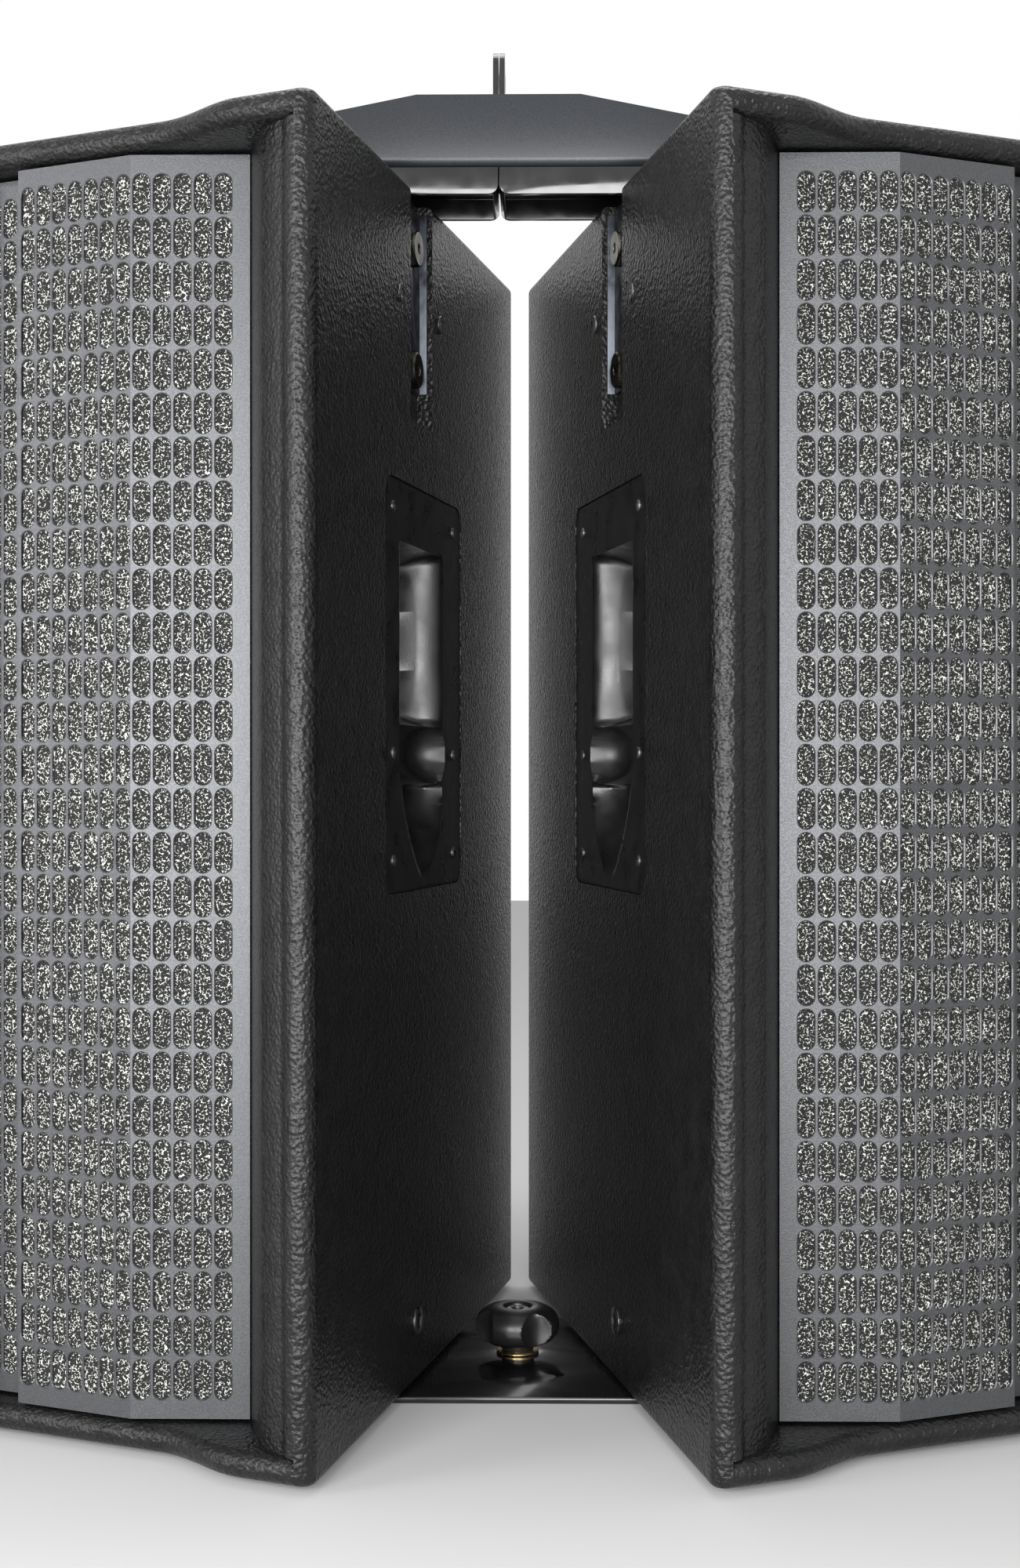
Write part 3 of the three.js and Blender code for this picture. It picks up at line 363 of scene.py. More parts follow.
    def _foam(self, tree: Tree, shader: Node, place: Socket, finish: Finish) -> None:
        """Black open-cell foam: its broken strands are painted pale over the black cells, a painted highlight standing
        for light catching the strands.

        Args:
            tree: The material's node tree.
            shader: The shader to set.
            place: Where the texture is read.
            finish: The finish.
        """
        warp = tree.nodes.new("ShaderNodeTexNoise")
        warp.inputs["Scale"].default_value = 0.9 / finish.grain
        tree.links.new(place, warp.inputs["Vector"])
        shift = tree.nodes.new("ShaderNodeVectorMath")
        shift.operation = "MULTIPLY_ADD"
        shift.inputs[1].default_value = (finish.grain,) * 3
        tree.links.new(warp.outputs["Color"], shift.inputs[0])
        tree.links.new(place, shift.inputs[2])
        edge = self._cells(tree, shift.outputs["Vector"], 1.0 / finish.grain, "DISTANCE_TO_EDGE")
        strand = self._span(tree, edge, 0.035, 0.11, 1.0, 0.0)
        breaks = self._span(tree, self._noise(tree, place, 1.1 / finish.grain, 2.0), 0.44, 0.6, 0.0, 1.0)
        both = tree.nodes.new("ShaderNodeMath")
        both.operation = "MULTIPLY"
        tree.links.new(strand, both.inputs[0])
        tree.links.new(breaks, both.inputs[1])
        # Painted highlight: the strands are coloured pale where light would catch them.
        self._blend(tree, shader, both.outputs[0], finish)
        tree.links.new(self._bump(tree, strand, finish.bump, finish.depth), shader.inputs["Normal"])
        shader.inputs["Roughness"].default_value = finish.roughness

    def _board(self, tree: Tree, shader: Node, place: Socket, finish: Finish) -> None:
        """Stained plywood: a stretched grain.

        Args:
            tree: The material's node tree.
            shader: The shader to set.
            place: Where the texture is read.
            finish: The finish.
        """
        stretch = tree.nodes.new("ShaderNodeMapping")
        stretch.inputs["Scale"].default_value = (1.0, 1.0, 0.1)
        tree.links.new(place, stretch.inputs["Vector"])
        grain = self._noise(tree, stretch.outputs["Vector"], 1.0 / finish.grain, 4.0)
        tree.links.new(self._bump(tree, grain, finish.bump, finish.depth), shader.inputs["Normal"])
        self._blend(tree, shader, grain, finish)
        shader.inputs["Roughness"].default_value = finish.roughness


BOOK = FinishBook()


# ---- Mesh helpers -------------------------------------------------------------------------------------------


def new_piece(name: str, mesh: bpy.types.Mesh) -> bpy.types.Object:
    """Links a mesh into the scene as a piece.

    Args:
        name: The piece's name.
        mesh: Its mesh, in place.

    Returns:
        The new object.
    """
    piece = bpy.data.objects.new(name, mesh)
    bpy.context.scene.collection.objects.link(piece)
    return piece


def mesh_of(bm: bmesh.types.BMesh, name: str) -> bpy.types.Mesh:
    """Turns a bmesh into a mesh and frees it.

    Args:
        bm: The mesh, which is used up.
        name: The new mesh's name.

    Returns:
        The mesh.
    """
    mesh = bpy.data.meshes.new(name)
    bm.to_mesh(mesh)
    bm.free()
    return mesh


def outward(bm: bmesh.types.BMesh) -> bmesh.types.BMesh:
    """Merges doubles and turns every face outwards.

    Args:
        bm: The mesh, changed in place.

    Returns:
        The same mesh.
    """
    bmesh.ops.remove_doubles(bm, verts=bm.verts, dist=1e-6)
    bmesh.ops.recalc_face_normals(bm, faces=bm.faces)
    return bm


def bm_box(low: Point, high: Point) -> bmesh.types.BMesh:
    """A box between two corners.

    Args:
        low: The low corner.
        high: The high corner.

    Returns:
        The box.
    """
    bm = bmesh.new()
    size = [b - a for a, b in zip(low, high)]
    centre = [(a + b) / 2 for a, b in zip(low, high)]
    bmesh.ops.create_cube(bm, size=1.0, matrix=Matrix.Translation(centre) @ Matrix.Diagonal((*size, 1.0)))
    return bm


def bm_tube(radius: float, start: float, end: float, sides: int, turn: Matrix) -> bmesh.types.BMesh:
    """A closed cylinder along z from start to end, then turned into place.

    Args:
        radius: The radius.
        start: The low end.
        end: The high end.
        sides: How many sides it has.
        turn: Where it goes.

    Returns:
        The cylinder.
    """
    bm = bmesh.new()
    centre = Matrix.Translation((0, 0, (start + end) / 2))
    bmesh.ops.create_cone(
        bm, cap_ends=True, segments=sides, radius1=radius, radius2=radius, depth=end - start, matrix=turn @ centre)
    return bm


def bm_loft(levels: Sequence[Sequence[Point]]) -> bmesh.types.BMesh:
    """A closed solid through rings of equally many points.

    Args:
        levels: The rings, each a list of points in space.

    Returns:
        The solid, with its two ends closed.
    """
    bm = bmesh.new()
    rings = [[bm.verts.new(point) for point in ring] for ring in levels]
    count = len(rings[0])
    for lower, upper in zip(rings, rings[1:]):
        for i in range(count):
            j = (i + 1) % count
            bm.faces.new((lower[i], lower[j], upper[j], upper[i]))
    bm.faces.new(list(reversed(rings[0])))
    bm.faces.new(rings[-1])
    return outward(bm)


def bm_lathe(profile: Sequence[tuple[float, float]], sides: int) -> bmesh.types.BMesh:
    """A profile of (radius, z) turned about z, closed on the axis or on itself.

    Args:
        profile: The (radius, z) points.
        sides: How many sides it has.

    Returns:
        The turned shape.
    """
    bm = bmesh.new()
    rings: list[list[bmesh.types.BMVert]] = []
    for radius, z in profile:
        if radius < 1e-7:
            rings.append([bm.verts.new((0, 0, z))])
        else:
            rings.append([
                bm.verts.new((radius * math.cos(a), radius * math.sin(a), z))
                for a in (2 * math.pi * i / sides for i in range(sides))
            ])
    closed = len(rings[0]) > 1
    pairs = list(zip(rings, rings[1:])) + ([(rings[-1], rings[0])] if closed else [])
    for lower, upper in pairs:
        for i in range(sides):
            j = (i + 1) % sides
            corners = [lower[i % len(lower)], lower[j % len(lower)], upper[j % len(upper)], upper[i % len(upper)]]
            unique = list(dict.fromkeys(corners))
            if len(unique) > 2:
                bm.faces.new(unique)
    return outward(bm)


def joined(parts: Iterable[bmesh.types.BMesh]) -> bmesh.types.BMesh:
    """Puts several meshes in one, without merging them.

    Args:
        parts: The meshes, which are used up.

    Returns:
        The one mesh.
    """
    whole = bmesh.new()
    for part in parts:
        mesh = mesh_of(part, "part")
        whole.from_mesh(mesh)
        bpy.data.meshes.remove(mesh)
    return whole


def evaluated(mesh: bpy.types.Mesh, dress: Callable[[bpy.types.Object], None]) -> bpy.types.Mesh:
    """Runs modifiers on a mesh and returns the plain result.

    Args:
        mesh: The mesh to work on.
        dress: Adds the modifiers to the working object.

    Returns:
        The new mesh, with no modifiers.
    """
    worker = new_piece("worker", mesh)
    dress(worker)
    bpy.context.view_layer.update()
    depsgraph = bpy.context.evaluated_depsgraph_get()
    result = bpy.data.meshes.new_from_object(worker.evaluated_get(depsgraph))
    bpy.data.objects.remove(worker)
    return result


def carved(solid: bmesh.types.BMesh, tools: Sequence[bmesh.types.BMesh]) -> bmesh.types.BMesh:
    """Cuts tools out of a solid.

    Args:
        solid: The solid to cut.
        tools: Closed solids to take away.

    Returns:
        What is left.
    """
    cutters = [new_piece("cutter", mesh_of(tool, "cutter")) for tool in tools]

    def dress(worker: bpy.types.Object) -> None:
        """Adds one cut for each tool.

        Args:
            worker: The working object.
        """
        for cutter in cutters:
            step = worker.modifiers.new("cut", "BOOLEAN")
            step.operation = "DIFFERENCE"
            step.solver = "EXACT"
            step.object = cutter

    result = evaluated(mesh_of(solid, "solid"), dress)
    for cutter in cutters:
        bpy.data.objects.remove(cutter)
    bm = bmesh.new()
    bm.from_mesh(result)
    bpy.data.meshes.remove(result)
    return bm


def softened(
    mesh: bpy.types.Mesh, width: float, segments: int = 2, angle: float = 35.0
) -> bpy.types.Mesh:
    """Rounds a mesh's sharp edges and smooths its shading, keeping flat faces flat.

    Args:
        mesh: The mesh.
        width: How wide the rounding is, or 0 for none.
        segments: How many steps it has.
        angle: The angle in degrees past which an edge is sharp.

    Returns:
        The new mesh.
    """

    def dress(worker: bpy.types.Object) -> None:
        """Adds the bevel.

        Args:
            worker: The working object.
        """
        if width > 0:
            bevel = worker.modifiers.new("bevel", "BEVEL")
            bevel.width = width
            bevel.segments = segments
            bevel.limit_method = "ANGLE"
            bevel.angle_limit = math.radians(angle)
            bevel.use_clamp_overlap = True
            bevel.miter_outer = "MITER_ARC"

    result = evaluated(mesh, dress)
    return smoothed(result, angle + 8)


def smoothed(mesh: bpy.types.Mesh, angle: float) -> bpy.types.Mesh:
    """Shades a mesh smooth, with its edges sharp past an angle in degrees.

    Args:
        mesh: The mesh.
        angle: The angle, in degrees.

    Returns:
        The same mesh.
    """
    mesh.shade_smooth()
    mesh.set_sharp_from_angle(angle=math.radians(angle))
    return mesh


def planar(mesh: bpy.types.Mesh, angle: float = 1.0) -> bpy.types.Mesh:
    """A merged copy of a CAD mesh with its flat faces whole again.

    Args:
        mesh: The mesh.
        angle: How far apart in degrees two flat faces may lie.

    Returns:
        The new mesh.
    """
    bm = bmesh.new()
    bm.from_mesh(mesh)
    bmesh.ops.remove_doubles(bm, verts=bm.verts, dist=2e-6)
    bmesh.ops.dissolve_limit(
        bm, angle_limit=math.radians(angle), use_dissolve_boundaries=False, verts=bm.verts, edges=bm.edges)
    return mesh_of(bm, mesh.name + "_whole")


def finish_piece(
    piece: bpy.types.Object, finish: Finish, body: str, nodes: Sequence[str] = ()
) -> bpy.types.Object:
    """Dresses a piece, seats it on its body, and reports it.

    Args:
        piece: The piece, in place.
        finish: Its finish.
        body: The body it rides on.
        nodes: The CAD nodes it stands for.

    Returns:
        The piece.
    """
    if not piece.data.materials:
        piece.data.materials.append(BOOK.get(finish))
    else:
        for index in range(len(piece.data.materials)):
            piece.data.materials[index] = BOOK.get(finish)
    if nodes:
        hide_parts(*nodes)
    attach(piece, body)
    LOG.info("%s on %s: %d faces", piece.name, body, len(piece.data.polygons))
    return piece


# ---- Placement ----------------------------------------------------------------------------------------------


@dataclass(frozen=True)
class CabinetSize:
    """The cabinets' sizes and their splay."""

    width: float = 0.524
    height: float = 0.880
    depth: float = 0.550
    taper: float = math.radians(10)
    wall: float = 0.018
    nose: float = 0.012
    rim: float = 0.018
    rear_radius: float = 0.015
    edge_radius: float = 0.005
    lobe: float = 0.055
    sweep: float = 0.072
    setback: float = 0.022
    splay: float = math.radians(22.5)
    rear_gap: float = 0.011
    baffle: float = 0.074
    shallow: tuple[float, float] = (0.0449, 0.0178)
    steep: tuple[float, float] = (0.0751, 0.0562)
    underside: float = 0.0053

    @property
    def half(self) -> float:
        """Half the width across the front."""
        return self.width / 2

    def front_offset(self) -> float:
        """How far back the frame's own zero lies behind the fronts' corners."""
        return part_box("base_plate")[0].y - 0.200

    def place(self, side: Side) -> Matrix:
        """A cabinet's own frame in the row frame.

        Args:
            side: Which cabinet.

        Returns:
            The matrix.
        """
        gap = self.rear_gap / 2 + self.depth * math.sin(self.splay) - (
            self.depth * math.tan(self.taper) * math.cos(self.splay))
        corner = Vector((
            gap + self.half * math.cos(self.splay),
            self.half * math.sin(self.splay) + self.front_offset(),
            self.underside,
        ))
        turned = Matrix.Translation(corner) @ Matrix.Rotation(self.splay, 4, "Z")
        return Matrix.Diagonal((side.value, 1, 1, 1)) @ turned

    def wall_place(self, side: Side, wall: Wall) -> Matrix:
        """A side wall's frame, x outward and y back along it, in the row frame."""
        local = Matrix.Translation((self.half, 0, 0)) @ Matrix.Rotation(self.taper, 4, "Z")
        return self.place(side) @ Matrix.Diagonal((wall.value, 1, 1, 1)) @ local


SIZE = CabinetSize()


def placed(bm: bmesh.types.BMesh, matrix: Matrix) -> bmesh.types.BMesh:
    """Moves a mesh into place, turning its faces back out if the move mirrors it.

    Args:
        bm: The mesh, changed in place.
        matrix: The move.

    Returns:
        The same mesh.
    """
    bmesh.ops.transform(bm, matrix=matrix, verts=bm.verts)
    if matrix.determinant() < 0:
        bmesh.ops.reverse_faces(bm, faces=bm.faces)
    return bm


# ---- Cabinet shell ------------------------------------------------------------------------------------------


@dataclass
class CabinetShell:
    """The coated box: rounded edges, a swept front rim, and a bevelled recess for the grille."""

    side: Side
    edge_steps: int = 7
    nose_steps: int = 12
    sweep_steps: int = 18
    corner_steps: int = 7
    reach: float = 0.030
    rail_along: float = 0.2568
    rail_pocket: tuple[float, float, float] = (0.059, 0.171, 0.012)
    handle_along: float = 0.268
    handle_height: float = 0.512
    handle_plate: tuple[float, float, float] = (0.208, 0.297, 0.0037)
    handle_tub: tuple[float, float, float] = (0.0718, 0.1078, -0.1328)
    tub_depth: float = 0.028
    plate_gap: float = 0.0003
    plate_radius: float = 0.0143
    panel_height: float = 0.300
    panel_hole: tuple[float, float] = (0.080, 0.045)
    panel_seat: tuple[float, float, float] = (0.0953, 0.0603, 0.0028)
    cup_along: float = 0.250
    cup_hole: float = 0.0213
    cup_seat: tuple[float, float] = (0.0553, 0.0033)

    def setback(self, across: float) -> float:
        """How far back the rim lies at a distance in from the side."""
        t = min(max((across - SIZE.lobe) / SIZE.sweep, 0.0), 1.0)
        return SIZE.setback * t * t * (3 - 2 * t)

    def outline(self) -> list[tuple[float, float, float]]:
        """The outer plan outline as (x, y, edge radius), anticlockwise from above.

        Returns:
            The points, each with its edge radius.
        """
        rim = SIZE.rim / 2
        points = []
        for i in range(self.sweep_steps + 1):
            across = SIZE.lobe + SIZE.sweep * (1 - i / self.sweep_steps)
            points.append((SIZE.half - across, self.setback(across), rim))
        centre = SIZE.half - SIZE.nose * math.tan(SIZE.taper) - SIZE.nose / math.cos(SIZE.taper)
        for i in range(self.nose_steps + 1):
            t = i / self.nose_steps
            angle = -math.pi / 2 + t * (math.pi / 2 + SIZE.taper)
            points.append((
                centre + SIZE.nose * math.cos(angle),
                SIZE.nose + SIZE.nose * math.sin(angle),
                rim + (SIZE.edge_radius - rim) * t,
            ))
        back = SIZE.depth - SIZE.rear_radius
        corner = SIZE.half - back * math.tan(SIZE.taper) - SIZE.rear_radius / math.cos(SIZE.taper)
        for i in range(self.corner_steps + 1):
            angle = SIZE.taper + (math.pi / 2 - SIZE.taper) * i / self.corner_steps
            points.append((
                corner + SIZE.rear_radius * math.cos(angle),
                back + SIZE.rear_radius * math.sin(angle),
                SIZE.edge_radius,
            ))
        return points + [(-x, y, r) for x, y, r in reversed(points)]

    def drawn_in(self, below: float, z: float) -> list[tuple[float, float, float]]:
        """The outline at a height below the edge, drawn in by its quarter-round.

        Args:
            below: How far the ring lies from the edge.
            z: The ring's height.

        Returns:
            The ring.
        """
        outline = self.outline()
        ring = []
        for i, (x, y, radius) in enumerate(outline):
            if below >= radius:
                ring.append((x, y, z))
                continue
            before, after = outline[i - 1], outline[(i + 1) % len(outline)]
            tangent = Vector((after[0] - before[0], after[1] - before[1])).normalized()
            inset = radius - math.sqrt(max(radius**2 - (radius - below) ** 2, 0.0))
            ring.append((x - tangent.y * inset, y + tangent.x * inset, z))
        return ring

    def edge_heights(self) -> list[float]:
        """The heights of the rim's rounding, from its edge."""
        return [SIZE.rim / 2 * (1 - math.cos(math.pi / 2 * i / self.edge_steps)) for i in range(self.edge_steps + 1)]

    def body(self) -> bmesh.types.BMesh:
        """The outer body, before anything is cut.

        Returns:
            The body.
        """
        low = [self.drawn_in(h, h) for h in self.edge_heights()]
        high = [self.drawn_in(h, SIZE.height - h) for h in reversed(self.edge_heights())]
        return bm_loft(low + high)

    def opening(self) -> list[tuple[float, float]]:
        """The front opening in plan.

        Returns:
            The plan outline.
        """
        centre = SIZE.half - SIZE.nose
        side = [
            (SIZE.half - SIZE.steep[0], SIZE.baffle),
            (SIZE.half - SIZE.steep[0], SIZE.steep[1]),
            (SIZE.half - SIZE.shallow[0], SIZE.shallow[1]),
        ]
        for i in range(9):
            angle = math.radians(204 + 66 * i / 8)
            side.append((centre + SIZE.nose * math.cos(angle), SIZE.nose + SIZE.nose * math.sin(angle)))
        side.append((centre, -self.reach))
        return [(-x, y) for x, y in reversed(side)] + side

    def prism(self, plan: Sequence[tuple[float, float]], low: float, high: float) -> bmesh.types.BMesh:
        """A plan outline raised between two heights."""
        return bm_loft([[(x, y, low) for x, y in plan], [(x, y, high) for x, y in plan]])

    def flare(self, upper: bool) -> bmesh.types.BMesh:
        """What the rim's inner quarter-round leaves, from mid rim to the opening.

        Args:
            upper: Whether it is the upper edge's.

        Returns:
            The shape to cut away.
        """
        rim = SIZE.rim / 2
        steps = 40
        levels = []
        for step in range(self.edge_steps + 1):
            above = rim * math.sin(math.pi / 2 * step / self.edge_steps)
            z = above - rim
            drop = rim - math.sqrt(max(rim**2 - above**2, 0.0))
            ring = [(-SIZE.half + SIZE.nose, -self.reach), (SIZE.half - SIZE.nose, -self.reach)]
            for i in range(steps + 1):
                x = (SIZE.half - SIZE.nose) * (1 - 2 * i / steps)
                ring.append((x, self.setback(SIZE.half - abs(x)) + drop))
            height = SIZE.rim + z if not upper else SIZE.height - SIZE.rim - z
            levels.append([(x, y, height) for x, y in ring])
        last = [(x, y, z + (0.001 if not upper else -0.001)) for x, y, z in levels[-1]]
        return bm_loft(levels + [last])

    def cavity(self) -> bmesh.types.BMesh:
        """The hollow behind the baffle.

        Returns:
            The shape to cut away.
        """
        inner = SIZE.depth - SIZE.wall

        def half_at(y: float) -> float:
            """Half the inner width at a depth."""
            return SIZE.half - y * math.tan(SIZE.taper) - SIZE.wall / math.cos(SIZE.taper)

        right = [(half_at(SIZE.baffle), SIZE.baffle), (half_at(inner), inner)]
        return self.prism(right + [(-x, y) for x, y in reversed(right)], SIZE.rim, SIZE.height - SIZE.rim)

    def wall_cuts(self) -> list[bmesh.types.BMesh]:
        """The rail pocket and handle hole of both side walls.

        Returns:
            The shapes to cut away.
        """
        cuts = []
        for wall in Wall:
            local = Matrix.Diagonal((wall.value, 1, 1, 1)) @ Matrix.Translation((SIZE.half, 0, 0)) @ (
                Matrix.Rotation(SIZE.taper, 4, "Z"))
            width, length, depth = self.rail_pocket
            cuts.append(placed(bm_box(
                (-depth, self.rail_along - width / 2, SIZE.height - length),
                (0.01, self.rail_along + width / 2, SIZE.height + 0.01)), local))
            half, top, bottom = self.handle_tub
            cuts.append(placed(bm_box(
                (-self.tub_depth, self.handle_along - half, self.handle_height + bottom),
                (0.001, self.handle_along + half, self.handle_height + top)), local))
            width, height, sunk = self.handle_plate
            cuts.append(placed(rounded_block(
                width + 2 * self.plate_gap, height + 2 * self.plate_gap, self.plate_radius, -sunk, 0.01,
                Vector((0, self.handle_along, self.handle_height))), local))
        return cuts

    def rear_cuts(self) -> list[bmesh.types.BMesh]:
        """The connector panel's seat and opening.

        Returns:
            The shapes to cut away.
        """
        hole, seat, middle = self.panel_hole, self.panel_seat, self.panel_height
        return [
            bm_box(
                (-hole[0], SIZE.depth - 0.03, middle - hole[1]), (hole[0], SIZE.depth + 0.001, middle + hole[1])),
            bm_box(
                (-seat[0], SIZE.depth - seat[2], middle - seat[1]), (seat[0], SIZE.depth + 0.01, middle + seat[1])),
        ]

    def underside_cuts(self) -> list[bmesh.types.BMesh]:
        """The pole cup's seat and hole.

        Returns:
            The shapes to cut away.
        """
        centre = Matrix.Translation((0, self.cup_along, 0))
        radius, depth = self.cup_seat
        return [bm_tube(self.cup_hole, -0.01, 0.03, 48, centre), bm_tube(radius, -0.01, depth, 64, centre)]

    def build(self) -> None:
        """Makes the shell and seats it."""
        tools = [
            self.prism(self.opening(), SIZE.rim, SIZE.height - SIZE.rim),
            self.cavity(),
            self.flare(False),
            self.flare(True),
            *self.wall_cuts(),
            *self.rear_cuts(),
            *self.underside_cuts(),
        ]
        shell = placed(carved(self.body(), tools), SIZE.place(self.side))
        mesh = softened(mesh_of(shell, "shell"), 0.0)
        piece = new_piece(f"{self.side.label}_cabinet_box", mesh)
        finish_piece(piece, COAT, "array", [f"{self.side.label}_shell"])


def rounded_ring(width: float, height: float, radius: float, steps: int = 6) -> list[tuple[float, float]]:
    """A rounded rectangle's outline round the origin, anticlockwise.

    Args:
        width: Its width.
        height: Its height.
        radius: Its corners' radius.
        steps: The steps in each corner.

    Returns:
        The outline's points.
    """
    ring = []
    for cx, cy, start in (
        (width / 2 - radius, height / 2 - radius, 0.0),
        (-width / 2 + radius, height / 2 - radius, 0.5),
        (-width / 2 + radius, -height / 2 + radius, 1.0),
        (width / 2 - radius, -height / 2 + radius, 1.5),
    ):
        for i in range(steps + 1):
            angle = math.pi * (start + 0.5 * i / steps)
            ring.append((cx + radius * math.cos(angle), cy + radius * math.sin(angle)))
    return ring


def rounded_block(
    width: float, height: float, radius: float, low: float, high: float, centre: Vector
) -> bmesh.types.BMesh:
    """A rounded rectangle in y and z, thick along x from low to high."""
    ring = rounded_ring(width, height, radius)
    return bm_loft([[(x, centre.y + u, centre.z + v) for u, v in ring] for x in (low, high)])


# ---- Slotted grille -----------------------------------------------------------------------------------------


class SlotField:
    """A Geometry Nodes tree that lays one slotted cell out in columns and rows."""

    def __init__(self) -> None:
        """Builds the tree."""
        tree = bpy.data.node_groups.new("slot_field", "GeometryNodeTree")
        face = tree.interface
        face.new_socket("Geometry", in_out="INPUT", socket_type="NodeSocketGeometry")
        for name, kind in (
            ("Cell", "NodeSocketObject"), ("Columns", "NodeSocketInt"), ("Rows", "NodeSocketInt"),
            ("Pitch Across", "NodeSocketFloat"), ("Pitch Up", "NodeSocketFloat"), ("Finish", "NodeSocketMaterial"),
        ):
            face.new_socket(name, in_out="INPUT", socket_type=kind)
        face.new_socket("Geometry", in_out="OUTPUT", socket_type="NodeSocketGeometry")
        add, link = tree.nodes.new, tree.links.new
        source, sink = add("NodeGroupInput"), add("NodeGroupOutput")
        grid = add("GeometryNodeMeshGrid")
        for count, pitch, size, number in (
            ("Columns", "Pitch Across", "Size X", "Vertices X"), ("Rows", "Pitch Up", "Size Y", "Vertices Y")):
            less = add("ShaderNodeMath")
            less.operation = "SUBTRACT"
            less.inputs[1].default_value = 1.0
            span = add("ShaderNodeMath")
            span.operation = "MULTIPLY"
            link(source.outputs[count], less.inputs[0])
            link(less.outputs[0], span.inputs[0])
            link(source.outputs[pitch], span.inputs[1])
            link(span.outputs[0], grid.inputs[size])
            link(source.outputs[count], grid.inputs[number])
        stand = add("GeometryNodeTransform")
        stand.inputs["Rotation"].default_value = (math.pi / 2, 0, 0)
        info = add("GeometryNodeObjectInfo")
        spread = add("GeometryNodeInstanceOnPoints")
        real = add("GeometryNodeRealizeInstances")
        merge = add("GeometryNodeMergeByDistance")
        merge.inputs["Distance"].default_value = 2e-5
        paint = add("GeometryNodeSetMaterial")
        link(grid.outputs["Mesh"], stand.inputs["Geometry"])
        link(stand.outputs["Geometry"], spread.inputs["Points"])
        link(source.outputs["Cell"], info.inputs["Object"])
        link(info.outputs["Geometry"], spread.inputs["Instance"])
        link(spread.outputs["Instances"], real.inputs["Geometry"])
        link(real.outputs["Geometry"], merge.inputs["Geometry"])
        link(merge.outputs["Geometry"], paint.inputs["Geometry"])
        link(source.outputs["Finish"], paint.inputs["Material"])
        link(paint.outputs["Geometry"], sink.inputs[0])
        self.tree = tree

    def lay(
        self, cell: bpy.types.Object, columns: int, rows: int, across: float, up: float, finish: Finish
    ) -> bpy.types.Mesh:
        """Lays the cells out round the origin and returns them as a plain mesh.

        Args:
            cell: The object to repeat.
            columns: How many across.
            rows: How many up.
            across: The pitch across.
            up: The pitch up.
            finish: The cells' finish.

        Returns:
            The mesh.
        """
        values = {
            "Cell": cell, "Columns": columns, "Rows": rows, "Pitch Across": across, "Pitch Up": up,
            "Finish": BOOK.get(finish)}

        def dress(worker: bpy.types.Object) -> None:
            """Adds the tree and sets its inputs.

            Args:
                worker: The working object.
            """
            step = worker.modifiers.new("field", "NODES")
            step.node_group = self.tree
            for item in self.tree.interface.items_tree:
                if item.in_out == "INPUT" and item.name in values:
                    step[item.identifier] = values[item.name]

        return evaluated(bpy.data.meshes.new("seed"), dress)


